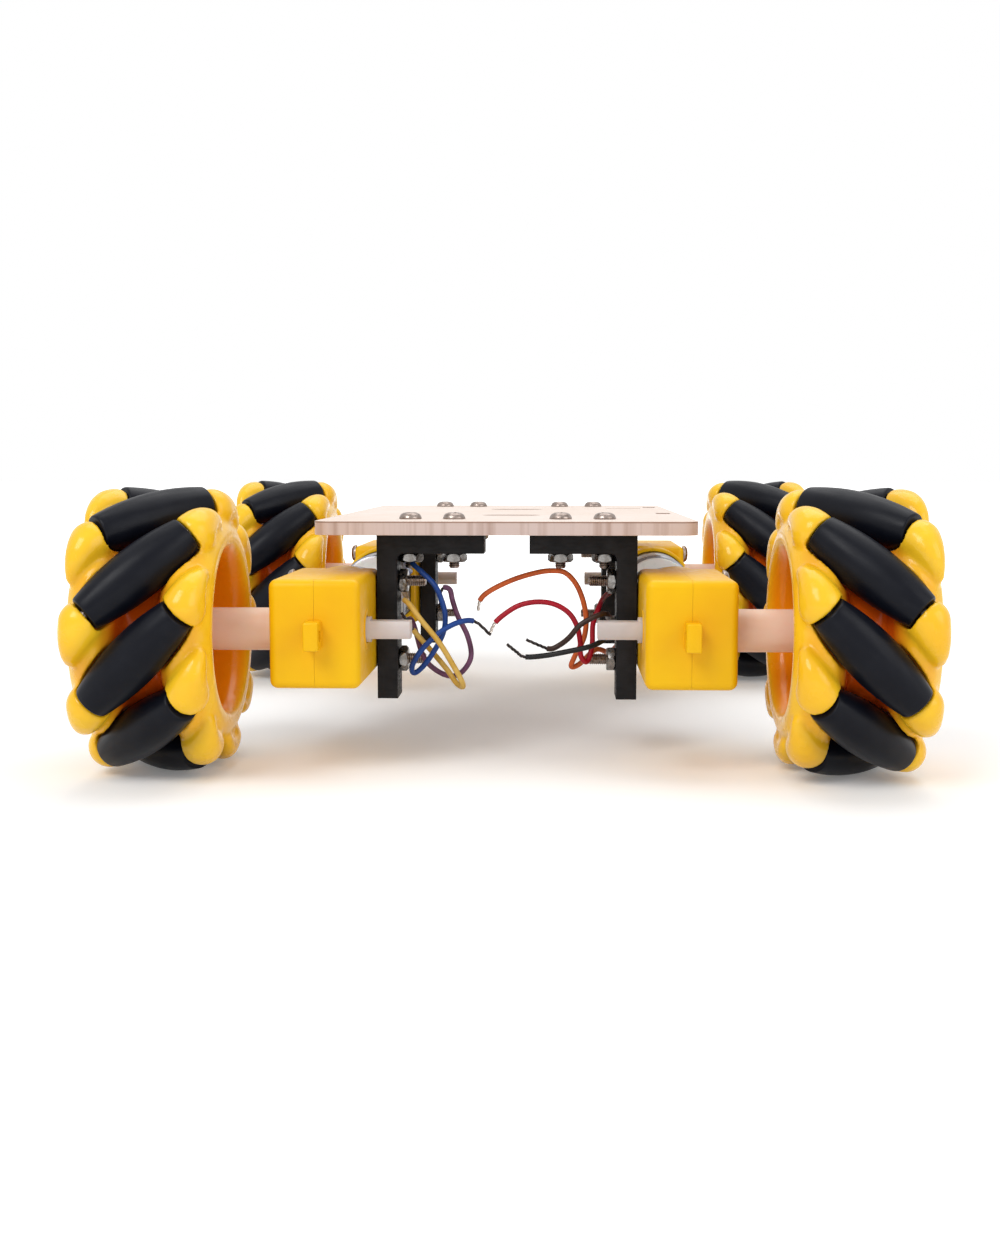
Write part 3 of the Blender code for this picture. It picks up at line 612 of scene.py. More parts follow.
def tidy(mesh):
    shape = bmesh.new()
    shape.from_mesh(mesh)
    bmesh.ops.remove_doubles(shape, verts=shape.verts, dist=0.001 * MM)
    bmesh.ops.recalc_face_normals(shape, faces=shape.faces)
    shape.to_mesh(mesh)
    shape.free()
    return mesh


def turned_mesh(profile, steps):
    """Turns a profile of (radius, height) about Z."""
    mesh = bpy.data.meshes.new("turned")
    points = [(radius, 0.0, height) for radius, height in profile]
    mesh.from_pydata(points, [(i, i + 1) for i in range(len(points) - 1)], [])
    item = link("turned", mesh)
    screw = item.modifiers.new("Turn", "SCREW")
    screw.steps = steps
    screw.render_steps = steps
    screw.use_merge_vertices = True
    screw.merge_threshold = 0.001 * MM
    return tidy(bake(item))


def rounded(profile, radius, steps=4):
    """Rounds the inner corners of an open profile with short arcs."""
    result = [profile[0]]
    for before, corner, after in zip(profile, profile[1:], profile[2:]):
        corner = Vector(corner)
        back = Vector(before) - corner
        ahead = Vector(after) - corner
        reach = min(radius, back.length * 0.45, ahead.length * 0.45)
        start = corner + back.normalized() * reach
        end = corner + ahead.normalized() * reach
        for i in range(steps + 1):
            t = i / steps
            point = start * (1 - t) ** 2 + corner * 2 * t * (1 - t) + end * t * t
            result.append((point.x, point.y))
    result.append(profile[-1])
    return result


def plate_mesh(outlines, thickness, bevel):
    """A flat plate in the XY plane, centred on it, with rounded edges."""
    curve = bpy.data.curves.new("plate", "CURVE")
    curve.dimensions = "2D"
    curve.fill_mode = "BOTH"
    curve.extrude = thickness / 2 - bevel
    curve.bevel_depth = bevel
    curve.bevel_resolution = 2
    curve.offset = -bevel
    for outline in outlines:
        spline = curve.splines.new("POLY")
        spline.points.add(len(outline) - 1)
        for point, (x, y) in zip(spline.points, outline):
            point.co = (x, y, 0.0, 1.0)
        spline.use_cyclic_u = True
    return tidy(bake(link("plate", curve)))


def box_mesh(low, high, bevel=0.0, segments=3):
    middle = (Vector(low) + Vector(high)) / 2
    size = Vector(high) - Vector(low)
    shape = bmesh.new()
    bmesh.ops.create_cube(shape, size=1.0, matrix=Matrix.Translation(middle) @ Matrix.Diagonal((*size, 1)))
    mesh = mesh_of(shape, "box")
    if not bevel:
        return mesh
    item = link("box", mesh)
    modifier = item.modifiers.new("Round", "BEVEL")
    modifier.width = bevel
    modifier.segments = segments
    return bake(item)


def rod_mesh(start, end, radius, steps=32):
    start = Vector(start)
    along = Vector(end) - start
    matrix = Matrix.Translation(start + along / 2) @ along.to_track_quat("Z", "Y").to_matrix().to_4x4()
    shape = bmesh.new()
    bmesh.ops.create_cone(shape, cap_ends=True, segments=steps, radius1=radius, radius2=radius,
                          depth=along.length, matrix=matrix)
    return mesh_of(shape, "rod")


def ball_mesh(centre, radius):
    shape = bmesh.new()
    bmesh.ops.create_icosphere(shape, subdivisions=4, radius=radius, matrix=Matrix.Translation(centre))
    return mesh_of(shape, "ball")


def combine(mesh, tool, operation):
    item = link("item", mesh)
    other = link("tool", tool)
    modifier = item.modifiers.new("Shape", "BOOLEAN")
    modifier.operation = operation
    modifier.solver = "EXACT"
    modifier.object = other
    result = bake(item)
    discard(other)
    return result


def cut_away(mesh, cuts):
    for cut in cuts:
        mesh = combine(mesh, cut, "DIFFERENCE")
    return mesh


def even_mesh(mesh, voxel, iterations):
    """Melts the mesh's parts into one even surface and smooths it."""
    item = link("even", mesh)
    remesh = item.modifiers.new("Even", "REMESH")
    remesh.mode = "VOXEL"
    remesh.voxel_size = voxel
    soften = item.modifiers.new("Soften", "SMOOTH")
    soften.iterations = iterations
    return bake(item)


def joined(meshes):
    shape = bmesh.new()
    for mesh in meshes:
        shape.from_mesh(mesh)
    return mesh_of(shape, "joined")


def moved(mesh, matrix):
    copy = mesh.copy()
    copy.transform(matrix)
    if matrix.determinant() < 0:
        copy.flip_normals()
    return copy


def circle(centre, radius, steps):
    turns = [2 * math.pi * i / steps for i in range(steps)]
    return [(centre[0] + radius * math.cos(a), centre[1] + radius * math.sin(a)) for a in turns]


def rounded_box(centre, size, corner, steps=8):
    outline = []
    for quarter, (sx, sy) in enumerate(((1, 1), (-1, 1), (-1, -1), (1, -1))):
        cx = centre[0] + sx * (size[0] / 2 - corner)
        cy = centre[1] + sy * (size[1] / 2 - corner)
        for i in range(steps + 1):
            angle = math.pi / 2 * (quarter + i / steps)
            outline.append((cx + corner * math.cos(angle), cy + corner * math.sin(angle)))
    return outline


def can_outline(radius, flat, steps=20):
    """Outline of a circle cut by two flats at plus and minus X."""
    half = math.asin(flat / radius)
    outline = []
    for side in (1, -1):
        for i in range(steps + 1):
            angle = side * math.pi / 2 - half * (1 - 2 * i / steps)
            outline.append((radius * math.cos(angle), radius * math.sin(angle)))
    return outline


def can_prism(radius, flat, start, end, bevel):
    """A flatted round prism along Y, from start to end."""
    mesh = plate_mesh([can_outline(radius, flat)], end - start, bevel)
    mesh.transform(Matrix.Translation((0, (start + end) / 2, 0)) @ Matrix.Rotation(math.pi / 2, 4, "X"))
    return mesh


def add_piece(name, mesh, matrix, material, body):
    piece = link(name, mesh)
    piece.matrix_world = matrix
    if not mesh.materials:
        mesh.materials.append(material)
    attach(piece, body)
    return piece


# Wheels

def roller_radius(along):
    """Radius that keeps the tilted roller's outer line on the wheel's cylinder."""
    return WHEEL_RADIUS - math.hypot(ROLLER_AXIS_RADIUS, along * math.sin(ROLLER_TILT))


def roller_matrix(outward, side):
    """Roller frame about the axle for the +X wheel: local Z is its pin, local X points outwards."""
    forward = Vector((0, outward.z, -outward.y))
    pin = Vector((-side * math.cos(ROLLER_TILT), 0, 0)) + forward * math.sin(ROLLER_TILT)
    matrix = Matrix((outward, pin.cross(outward), pin)).transposed().to_4x4()
    matrix.translation = outward * ROLLER_AXIS_RADIUS
    return matrix


def make_roller_mesh():
    """Barrel with blunt rounded ends and a bore for its pin."""
    half = ROLLER_LENGTH / 2
    shoulder = half - 1.2 * MM
    corner = [(PIN_RADIUS + PIN_PLAY, half), (roller_radius(half), half), (roller_radius(shoulder), shoulder)]
    top = rounded(corner, ROLLER_END_ROUNDING, 5)
    steps = 24
    barrel = [shoulder * (1 - 2 * i / steps) for i in range(1, steps)]
    profile = top + [(roller_radius(height), height) for height in barrel]
    profile += [(radius, -height) for radius, height in reversed(top)]
    profile.append(top[0])
    return smooth(turned_mesh(profile, 40), 50)


def hub_profile():
    """Rim and web: two sloping side rings with a low core between them, a web and a boss."""
    face = HUB_WIDTH / 2
    web_top = face - HUB_WEB_DEPTH
    web_under = web_top - HUB_WEB_THICKNESS
    collar_top = web_top + 2.0 * MM
    boss_end = web_under - HUB_BOSS_LENGTH
    flank = [
        (HUB_OPENING_RADIUS, face), (HUB_FACE_RADIUS, face), (23.4 * MM, face - 2.0 * MM),
        (HUB_RIM_RADIUS, face - 5.0 * MM), (HUB_RIM_RADIUS, face - 7.6 * MM), (23.0 * MM, 4.8 * MM),
        (HUB_CORE_RADIUS, 3.2 * MM),
    ]
    profile = [(HUB_BOSS_BORE, collar_top), (6.5 * MM, collar_top), (7.2 * MM, web_top)]
    profile.append((HUB_BORE_RADIUS, web_top))
    profile += flank
    profile += [(radius, -height) for radius, height in reversed(flank)]
    profile += [
        (HUB_BORE_RADIUS, 3.0 * MM - face), (HUB_BORE_RADIUS, web_under), (HUB_BOSS_RADIUS, web_under),
        (HUB_BOSS_RADIUS, boss_end), (HUB_BOSS_BORE, boss_end), (HUB_BOSS_BORE, collar_top),
    ]
    return rounded(profile, 0.8 * MM, 3)


def lobe_meshes(place, end):
    """The drop at a roller's end: a bulb round the pin and a tail that thins out along the rim."""
    seat = place @ Vector((0, 0, end * (ROLLER_LENGTH / 2 + LOBE_PAST_ROLLER)))
    outer_side = math.copysign(1.0, seat.x)
    radial = Vector((0, seat.y, seat.z)).normalized()
    along = (place.to_3x3() @ Vector((0, 0, end))).dot(radial.cross(Vector((1, 0, 0))))
    turn = math.copysign(1.0, along)
    meshes = []
    for i in range(LOBE_BALLS):
        share = i / (LOBE_BALLS - 1)
        radius = LOBE_RADIUS * (1 - share) + LOBE_TAIL_RADIUS * share
        reach = LOBE_REACH * (1 - share * share) + LOBE_TAIL_REACH * share * share
        x = min(abs(seat.x) + LOBE_TAIL_SHIFT * share, HUB_WIDTH / 2 - radius)
        angle = -turn * LOBE_TAIL_LENGTH * share / LOBE_REACH
        outward = Matrix.Rotation(angle, 3, "X") @ radial
        centre = outward * (reach - radius)
        centre.x = outer_side * x
        meshes.append(ball_mesh(centre, radius))
    return meshes


def make_hub_mesh():
    """The +X wheel's hub about its own middle: rim, drop-shaped lobes, pockets for the rollers."""
    rim = turned_mesh(hub_profile(), 160)
    rim.transform(Matrix.Rotation(math.pi / 2, 4, "Y"))
    parts = [rim]
    frames = []
    for i in range(ROLLERS_PER_WHEEL):
        turn = 2 * math.pi * i / ROLLERS_PER_WHEEL
        outward = Vector((0, -math.cos(turn), math.sin(turn)))
        frames.append(roller_matrix(outward, 1))
    for place in frames:
        for end in (-1, 1):
            parts += lobe_meshes(place, end)
    mesh = even_mesh(joined(parts), voxel=0.42 * MM, iterations=14)
    half = ROLLER_LENGTH / 2 + POCKET_END_GAP
    steps = 16
    heights = [half * (1 - 2 * i / steps) for i in range(steps + 1)]
    profile = [(0, half)] + [(roller_radius(h) + POCKET_GAP, h) for h in heights] + [(0, -half)]
    pocket = turned_mesh(profile, 48)
    mesh = cut_away(mesh, [moved(pocket, place) for place in frames])
    mesh = even_mesh(mesh, voxel=0.36 * MM, iterations=6)
    mesh.shade_smooth()
    return mesh


def make_shaft_mesh():
    """Output shaft with two flats at its stub, along +X from its inner end at zero."""
    corners = [(0, SHAFT_LENGTH), (SHAFT_RADIUS, SHAFT_LENGTH), (SHAFT_RADIUS, 0), (0, 0)]
    mesh = turned_mesh(rounded(corners, 0.3 * MM), 48)
    mesh.transform(Matrix.Rotation(math.pi / 2, 4, "Y"))
    reach = 4.0 * MM
    flats = []
    for level in (-1, 1):
        edges = sorted((level * SHAFT_FLAT, level * reach))
        flats.append(box_mesh((-MM, -reach, edges[0]), (SHAFT_STUB, reach, edges[1])))
    return smooth(cut_away(mesh, flats))


def make_coupler_mesh(length):
    """Sleeve over the shaft with a shallow mouth at its inner end, along +X."""
    corners = [(0, length), (COUPLER_RADIUS, length), (COUPLER_RADIUS, 0), (COUPLER_MOUTH_RADIUS, 0),
               (COUPLER_MOUTH_RADIUS, COUPLER_MOUTH_DEPTH), (0, COUPLER_MOUTH_DEPTH)]
    mesh = turned_mesh(rounded(corners, 0.35 * MM), 56)
    mesh.transform(Matrix.Rotation(math.pi / 2, 4, "Y"))
    return smooth(mesh)


def make_wheels(looks):
    hub_mesh = make_hub_mesh()
    hub_meshes = {1: hub_mesh, -1: moved(hub_mesh, Matrix.Diagonal((-1, 1, 1, 1)))}
    gearbox_low, gearbox_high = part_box("gearbox_front_right")
    wheel_x = JOINTS["wheel_front_right_spin"]["pos_m"][0]
    wheel_face = wheel_x + HUB_WIDTH / 2
    shaft_start = gearbox_low.x - SHAFT_PAST_GEARBOX
    shaft_mesh = make_shaft_mesh()
    coupler_start = gearbox_high.x + COUPLER_GAP
    coupler_mesh = make_coupler_mesh(wheel_face - COUPLER_END_DEPTH - coupler_start)
    screw_mesh = pan_screw_mesh(HUB_SCREW_LENGTH)
    screw_shift = Matrix.Translation((wheel_face - HUB_SCREW_DEPTH, 0, 0))
    screw_shift = screw_shift @ Matrix.Rotation(math.pi / 2, 4, "Y")
    roller_mesh = make_roller_mesh()
    half = ROLLER_LENGTH / 2 + PIN_REACH
    pin_mesh = smooth(rod_mesh((0, 0, -half), (0, 0, half), PIN_RADIUS, 20))
    for corner, (side, _) in CORNERS.items():
        body = "wheel_" + corner
        middle = Vector(JOINTS[body + "_spin"]["pos_m"])
        flip = Matrix.Identity(4) if side > 0 else Matrix.Rotation(math.pi, 4, "Z")
        first = Vector(JOINTS["roller_{}_1_spin".format(corner)]["pos_m"]) - middle
        turn = math.atan2(first.z, -first.y)
        turned_hub = moved(hub_meshes[side], Matrix.Rotation(-turn, 4, "X"))
        hub = add_piece("hub_shell_" + corner, turned_hub, Matrix.Translation(middle),
                        looks["hub"], body)
        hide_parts("hub_" + corner)
        axle = Matrix.Translation((0, middle.y, middle.z)) @ flip
        add_piece("shaft_" + corner, shaft_mesh, axle @ Matrix.Translation((shaft_start, 0, 0)),
                  looks["shaft"], body)
        add_piece("coupler_" + corner, coupler_mesh, axle @ Matrix.Translation((coupler_start, 0, 0)),
                  looks["nylon"], body)
        add_piece("hub_screw_" + corner, screw_mesh, axle @ screw_shift, looks["steel"], body)
        for i in range(ROLLERS_PER_WHEEL):
            name = "roller_{}_{}".format(corner, i + 1)
            outward = (Vector(JOINTS[name + "_spin"]["pos_m"]) - middle).normalized()
            place = Matrix.Translation(middle) @ roller_matrix(outward, side)
            roller = add_piece(name + "_tyre", roller_mesh, place, looks["roller"], name)
            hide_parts(name)
            add_piece("pin_{}_{}".format(corner, i + 1), pin_mesh, place, looks["steel"], body)


# Fasteners: heads at z = 0 and above, shanks along -Z

def pan_screw_mesh(length):
    """Pan head with a cross recess, on a plain shank with a chamfered end."""
    head = SCREW_HEAD_RADIUS
    height = SCREW_HEAD_HEIGHT
    shank = SCREW_SHANK_RADIUS
    profile = [(0, height), (head * 0.55, height * 0.96), (head * 0.85, height * 0.72), (head, height * 0.25),
               (head, 0), (shank, 0), (shank, -length + SCREW_CHAMFER), (shank - SCREW_CHAMFER, -length),
               (0, -length)]
    mesh = turned_mesh(rounded(profile, 0.3 * MM, 3), 40)
    low = (-RECESS_LENGTH / 2, -RECESS_WIDTH / 2, height - RECESS_DEPTH)
    high = (RECESS_LENGTH / 2, RECESS_WIDTH / 2, height + MM)
    slots = [box_mesh(low, high) for _ in range(2)]
    for turn, slot in zip((0, math.pi / 2), slots):
        slot.transform(Matrix.Rotation(turn + 0.4, 4, "Z"))
    return smooth(cut_away(mesh, slots), 30)


def threaded_bolt_mesh(length, thread):
    """A pan screw whose last stretch carries a ridge for each turn of thread."""
    mesh = pan_screw_mesh(length - thread)
    start = thread - length
    overlap = start + 0.3 * MM
    profile = [(0, overlap), (THREAD_RADIUS - 0.2 * MM, overlap)]
    for i in range(int(thread / THREAD_PITCH)):
        level = start - i * THREAD_PITCH
        profile += [(THREAD_RADIUS - THREAD_DEPTH, level), (THREAD_RADIUS, level - THREAD_PITCH / 2)]
    profile += [(THREAD_RADIUS - SCREW_CHAMFER, -length), (0, -length)]
    return smooth(combine(mesh, turned_mesh(profile, 28), "UNION"), 30)


def nut_mesh():
    """Hexagonal nut with chamfered corners, on the XY plane's upper side."""
    radius = NUT_ACROSS / math.sqrt(3)
    chamfer_radius = NUT_ACROSS * 0.47
    chamfer = 0.5 * MM
    outlines = [circle((0, 0), radius, 6), circle((0, 0), NUT_HOLE_RADIUS, 24)]
    mesh = plate_mesh(outlines, NUT_THICKNESS, 0.12 * MM)
    mesh.transform(Matrix.Translation((0, 0, NUT_THICKNESS / 2)))
    corners = [(0, NUT_THICKNESS), (chamfer_radius, NUT_THICKNESS), (radius, NUT_THICKNESS - chamfer),
               (radius, chamfer), (chamfer_radius, 0), (0, 0)]
    limit = turned_mesh(rounded(corners, 0.05 * MM, 2), 48)
    return smooth(combine(mesh, limit, "INTERSECT"), 30)


def make_fasteners(looks):
    deck_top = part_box("deck")[1].z
    bracket_low, bracket_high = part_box("bracket_front_right")
    gearbox_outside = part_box("gearbox_front_right")[1].x
    row_y = (bracket_low.y + bracket_high.y) / 2
    axle_z = JOINTS["wheel_front_right_spin"]["pos_m"][2]
    leg_inner = bracket_high.x - BRACKET_LEG
    flange_under = bracket_high.z - BRACKET_FLANGE
    nut_drop = NUT_THICKNESS + NUT_GAP
    deck_screw = threaded_bolt_mesh(deck_top - flange_under + DECK_SCREW_TIP, DECK_SCREW_THREAD)
    motor_bolt = threaded_bolt_mesh(gearbox_outside - leg_inner + MOTOR_BOLT_TIP, MOTOR_BOLT_THREAD)
    nut = nut_mesh()
    turn_step = 0.7
    count = 0
    for corner, (side, row) in CORNERS.items():
        y = -row * row_y
        across = Matrix.Rotation(side * math.pi / 2, 4, "Y")
        for index, screw_x in enumerate(DECK_SCREW_X):
            turn = Matrix.Rotation(turn_step * count, 4, "Z")
            x = side * screw_x
            z = axle_z + (index - 0.5) * MOTOR_BOLT_SPACING
            pieces = {
                "deck_screw": (deck_screw, "steel", Matrix.Translation((x, y, deck_top)) @ turn),
                "deck_nut": (nut, "nut", Matrix.Translation((x, y, flange_under - nut_drop))),
                "motor_bolt": (motor_bolt, "steel",
                               Matrix.Translation((side * gearbox_outside, y, z)) @ across @ turn),
                "motor_nut": (nut, "nut",
                              Matrix.Translation((side * (leg_inner - nut_drop), y, z)) @ across @ turn),
            }
            for kind, (mesh, look, place) in pieces.items():
                add_piece("{}_{}_{}".format(kind, corner, index + 1), mesh, place, looks[look], "chassis")
            count += 1


# Gear motors

def corner_matrices(corner):
    """Place at the axle, and the mirror for a piece drawn with +X outwards and +Y to the robot's middle."""
    side, row = CORNERS[corner]
    low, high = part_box("gearbox_" + corner)
    axle = Vector(JOINTS["wheel_{}_spin".format(corner)]["pos_m"])
    return Matrix.Translation(((low.x + high.x) / 2, axle.y, axle.z)), Matrix.Diagonal((side, -row, 1, 1))


def make_case():
    """The whole gearbox case about its axle: rounded box, collars, motor cradle and bolt holes."""
    low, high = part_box("gearbox_front_right")
    half = (high.x - low.x) / 2
    tall = (high.z - low.z) / 2
    rear = GEARBOX_LENGTH - GEARBOX_NOSE
    cradle_end = rear + CRADLE_LENGTH
    far = 2 * half
    case = box_mesh((-half, -GEARBOX_NOSE, -tall), (half, rear, tall), GEARBOX_ROUNDING, 5)
    cradle = can_prism(CRADLE_RADIUS, half - CRADLE_INSET, rear - CRADLE_ROOT, cradle_end, 0.5 * MM)
    case = combine(case, cradle, "UNION")
    collar_end = half + COLLAR_HEIGHT
    case = combine(case, rod_mesh((-collar_end, 0, 0), (collar_end, 0, 0), COLLAR_RADIUS, 48), "UNION")
    cuts = [
        rod_mesh((-far, 0, 0), (far, 0, 0), SHAFT_RADIUS + 0.3 * MM, 40),
        can_prism(CAN_RADIUS + CAN_CLEARANCE, CAN_FLAT + CAN_CLEARANCE, rear, cradle_end + 5 * MM, 0.1 * MM),
    ]
    for level in (-1, 1):
        y, z = MOTOR_BOLT_BEHIND_AXLE, level * MOTOR_BOLT_SPACING / 2
        cuts.append(rod_mesh((-far, y, z), (far, y, z), BOLT_HOLE_RADIUS))
    return cut_away(case, cuts)


def make_tab():
    """Small pierced tab on the gearbox's nose."""
    low = (-TAB_WIDTH / 2, -GEARBOX_NOSE - TAB_LENGTH, -TAB_HEIGHT / 2)
    high = (TAB_WIDTH / 2, TAB_SEAT - GEARBOX_NOSE, TAB_HEIGHT / 2)
    hole_y = -GEARBOX_NOSE - TAB_LENGTH / 2
    hole = rod_mesh((-TAB_LENGTH, hole_y, 0), (TAB_LENGTH, hole_y, 0), TAB_HOLE_RADIUS)
    return combine(box_mesh(low, high, 0.35 * MM), hole, "DIFFERENCE")


def make_gearbox_halves():
    """The case split at its seam; the nose tab belongs to the outer half."""
    case = make_case()
    far = 0.1
    seam = GEARBOX_SEAM / 2
    outer = combine(case.copy(), box_mesh((seam, -far, -far), (far, far, far)), "INTERSECT")
    inner = combine(case, box_mesh((-far, -far, -far), (-seam, far, far)), "INTERSECT")
    return {"outer": smooth(joined([outer, make_tab()]), 32), "inner": smooth(inner, 32)}


def make_motor_parts():
    """Can, end cap and terminals, drawn about the axle."""
    front = GEARBOX_LENGTH - GEARBOX_NOSE + CAN_GAP
    back = front + CAN_LENGTH
    can = can_prism(CAN_RADIUS, CAN_FLAT, front, back - CAP_LIP, 0.8 * MM)
    cap = can_prism(CAN_RADIUS - 0.7 * MM, CAN_FLAT - 0.5 * MM, back - CAP_DEPTH, back, 0.3 * MM)
    corners = [(0, BEARING_HEIGHT), (BEARING_RADIUS, BEARING_HEIGHT), (BEARING_RADIUS, CAP_BOSS_HEIGHT),
               (CAP_BOSS_RADIUS, CAP_BOSS_HEIGHT), (CAP_BOSS_RADIUS, -MM), (0, -MM)]
    boss = turned_mesh(rounded(corners, 0.25 * MM), 40)
    boss.transform(Matrix.Translation((0, back, 0)) @ Matrix.Rotation(-math.pi / 2, 4, "X"))
    cap = combine(cap, boss, "UNION")
    terminals = []
    for level in (-1, 1):
        middle = Vector((0, back + 0.1 * MM, level * TERMINAL_SPACING / 2))
        terminals.append(box_mesh(middle - TERMINAL_SIZE / 2, middle + TERMINAL_SIZE / 2, 0.1 * MM, 2))
    return smooth(can, 40), smooth(cap, 32), smooth(joined(terminals))


def make_gear_motors(looks):
    halves = make_gearbox_halves()
    can, cap, terminals = make_motor_parts()
    for corner in CORNERS:
        place, flip = corner_matrices(corner)
        for label, mesh in halves.items():
            piece = add_piece("gearbox_{}_{}".format(label, corner), moved(mesh, flip), place,
                              looks["gearbox"], "chassis")
            if label == "outer":
                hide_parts("gearbox_" + corner)
        motor = add_piece("motor_can_" + corner, moved(can, flip), place, looks["can"], "chassis")
        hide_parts("motor_" + corner)
        add_piece("motor_cap_" + corner, moved(cap, flip), place, looks["cap"], "chassis")
        add_piece("terminals_" + corner, moved(terminals, flip), place, looks["steel"], "chassis")


# Deck and brackets

def make_deck(looks):
    low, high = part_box("deck")
    size = high - low
    outlines = [rounded_box((0, 0), (size.x, size.y), DECK_CORNER, 10)]
    bracket_low, bracket_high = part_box("bracket_front_right")
    row_y = -(bracket_low.y + bracket_high.y) / 2
    for row in (-1, 1):
        outlines.append(rounded_box((0, row * CABLE_SLOT_Y), CABLE_SLOT, CABLE_SLOT_CORNER))
        for side in (-1, 1):
            for screw_x in DECK_SCREW_X:
                outlines.append(circle((side * screw_x, row * row_y), BOLT_HOLE_RADIUS, 24))
    for place in EDGE_SLOT_PLACES:
        outlines.append(rounded_box(place, EDGE_SLOT, SMALL_SLOT_CORNER, 4))
    outlines.append(rounded_box(CROSS_SLOT_PLACE, CROSS_SLOT, SMALL_SLOT_CORNER, 4))
    mesh = smooth(plate_mesh(outlines, size.z, DECK_ROUNDING), 12)
    deck = add_piece("deck_plate", mesh, Matrix.Translation((0, 0, (low.z + high.z) / 2)),
                     looks["deck"], "chassis")
    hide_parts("deck")


def bracket_outline(low, high):
    """L section with a filleted inner corner, in X and Z."""
    inner_x = high.x - BRACKET_LEG
    under = high.z - BRACKET_FLANGE
    outline = [(low.x, high.z), (high.x, high.z), (high.x, low.z), (inner_x, low.z)]
    steps = 5
    for i in range(steps + 1):
        angle = math.pi / 2 * i / steps
        outline.append((inner_x - BRACKET_FILLET * (1 - math.cos(angle)),
                        under - BRACKET_FILLET * (1 - math.sin(angle))))
    outline.append((low.x, under))
    return outline


def make_brackets(looks):
    low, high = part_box("bracket_front_right")
    middle_z = (low.z + high.z) / 2
    outline = [(x, z - middle_z) for x, z in bracket_outline(low, high)]
    mesh = plate_mesh([outline], high.y - low.y, BRACKET_ROUNDING)
    mesh.transform(Matrix.Translation((0, 0, middle_z)) @ Matrix.Rotation(math.pi / 2, 4, "X"))
    axle_z = JOINTS["wheel_front_right_spin"]["pos_m"][2]
    below, above = high.z - 10 * MM, high.z + 5 * MM
    cuts = [rod_mesh((x, 0, below), (x, 0, above), BOLT_HOLE_RADIUS) for x in DECK_SCREW_X]
    inside, outside = high.x - 2 * BRACKET_LEG, high.x + BRACKET_LEG
    for level in (-1, 1):
        z = axle_z + level * MOTOR_BOLT_SPACING / 2
        cuts.append(rod_mesh((inside, 0, z), (outside, 0, z), BOLT_HOLE_RADIUS))
    mesh = smooth(cut_away(mesh, cuts), 32)
    for corner, (side, row) in CORNERS.items():
        y = -row * (low.y + high.y) / 2
        piece = add_piece("angle_bracket_" + corner, moved(mesh, Matrix.Diagonal((side, -row, 1, 1))),
                          Matrix.Translation((0, y, 0)), looks["bracket"], "chassis")
        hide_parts("bracket_" + corner)


# Leads

def smooth_route(points, per_stretch=10):
    """Points on a Catmull-Rom curve through the route's own points."""
    route = [Vector(point) * MM for point in points]
    route = [route[0] * 2 - route[1]] + route + [route[-1] * 2 - route[-2]]
    fine = []
    for a, b, c, d in zip(route, route[1:], route[2:], route[3:]):
        for i in range(per_stretch):
            t = i / per_stretch
            fine.append(0.5 * ((2 * b) + (c - a) * t + (2 * a - 5 * b + 4 * c - d) * t * t
                               + (3 * b - a - 3 * c + d) * t * t * t))
    fine.append(route[-2])
    return fine


def split_route(points, tail):
    """Splits a line at its point nearest to the given length from its end."""
    walked = 0.0
    for i in range(len(points) - 1, 0, -1):
        step = (points[i] - points[i - 1]).length
        if walked + step / 2 >= tail:
            return points[:i + 1], points[i:]
        walked += step
    raise ValueError("the tail is longer than the line")


def tube(name, points, radius, resolution=4):
    curve = bpy.data.curves.new(name, "CURVE")
    curve.dimensions = "3D"
    curve.bevel_depth = radius
    curve.bevel_resolution = resolution
    curve.use_fill_caps = True
    spline = curve.splines.new("POLY")
    spline.points.add(len(points) - 1)
    for point, place in zip(spline.points, points):
        point.co = (*place, 1.0)
    spline.use_smooth = True
    return link(name, curve)


def strand_mesh(points):
    """Three fine conductors twisted along the bare end."""
    meshes = []
    for strand in range(3):
        line = []
        for i, place in enumerate(points):
            ahead = points[min(i + 1, len(points) - 1)] - points[max(i - 1, 0)]
            across = ahead.cross(Vector((0, 1, 0))).normalized()
            other = ahead.cross(across).normalized()
            angle = 2 * math.pi * (strand / 3 + i * 0.09)
            line.append(place + (across * math.cos(angle) + other * math.sin(angle)) * STRAND_SPREAD)
        meshes.append(bake(tube("strand", line, STRAND_RADIUS, 2)))
    return smooth(joined(meshes), 60)


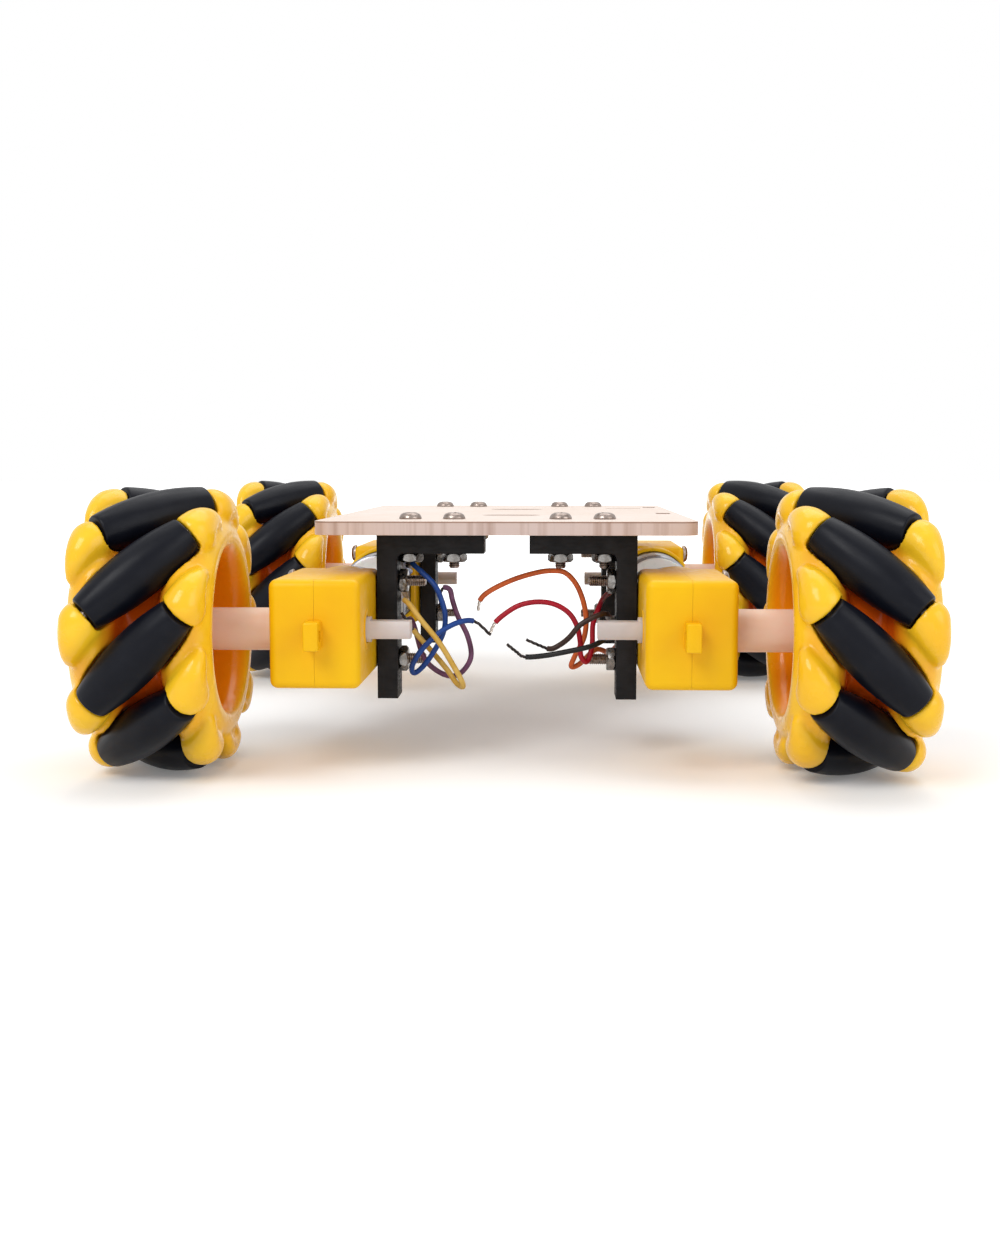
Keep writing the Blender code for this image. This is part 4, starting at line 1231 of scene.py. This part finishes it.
def make_leads(looks):
    for name, route in WIRE_ROUTES.items():
        points = smooth_route(route)
        sheath_points, bare_points = split_route(points, SHORT_BARE_LENGTHS.get(name, BARE_LENGTH))
        sheath = tube(name.replace("wire", "lead"), sheath_points, WIRE_DIAMETER / 2)
        sheath.data.materials.append(looks[name])
        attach(sheath, "chassis")
        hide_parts(name)
        tip_look = looks["tinned"] if name in BRIGHT_TIPS else looks["burnt"]
        tip = add_piece(name.replace("wire", "strands"), strand_mesh(bare_points), Matrix.Identity(4),
                        tip_look, "chassis")


def main():
    make_camera()
    make_stage()
    looks = {
        "hub": hub_finish(),
        "gearbox": gearbox_finish(),
        "roller": roller_finish(),
        "nylon": nylon_finish("coupler_nylon", (0.90, 0.69, 0.54), (0.84, 0.60, 0.45)),
        "shaft": nylon_finish("shaft_nylon", (0.60, 0.54, 0.53), (0.52, 0.46, 0.44)),
        "deck": deck_finish(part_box("deck")[1].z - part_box("deck")[0].z),
        "bracket": bracket_finish(),
        "steel": steel_finish("steel", (0.34, 0.28, 0.25), (0.16, 0.12, 0.10)),
        "nut": steel_finish("nut_steel", (0.27, 0.26, 0.25), (0.13, 0.115, 0.105)),
        "tinned": steel_finish("tinned_strands", (0.66, 0.62, 0.58), (0.44, 0.38, 0.34)),
        "burnt": steel_finish("dark_strands", (0.06, 0.05, 0.05), (0.02, 0.018, 0.018)),
        "can": can_finish(),
        "cap": cap_finish(),
        "wire_yellow": wire_finish("wire_yellow", (0.56, 0.33, 0.05), (0.66, 0.45, 0.12)),
        "wire_purple": wire_finish("wire_purple", (0.10, 0.035, 0.075), (0.20, 0.08, 0.17)),
        "wire_blue": wire_finish("wire_blue", (0.010, 0.055, 0.27), (0.008, 0.035, 0.17)),
        "wire_red": wire_finish("wire_red", (0.42, 0.006, 0.022), (0.30, 0.005, 0.015)),
        "wire_brown": wire_finish("wire_brown", (0.045, 0.022, 0.017), (0.03, 0.015, 0.012)),
        "wire_orange": wire_finish("wire_orange", (0.70, 0.14, 0.03), (0.52, 0.09, 0.02)),
        "wire_black": wire_finish("wire_black", (0.008, 0.008, 0.009), (0.016, 0.015, 0.015)),
    }
    make_leads(looks)
    make_wheels(looks)
    make_fasteners(looks)
    make_gear_motors(looks)
    make_deck(looks)
    make_brackets(looks)


main()
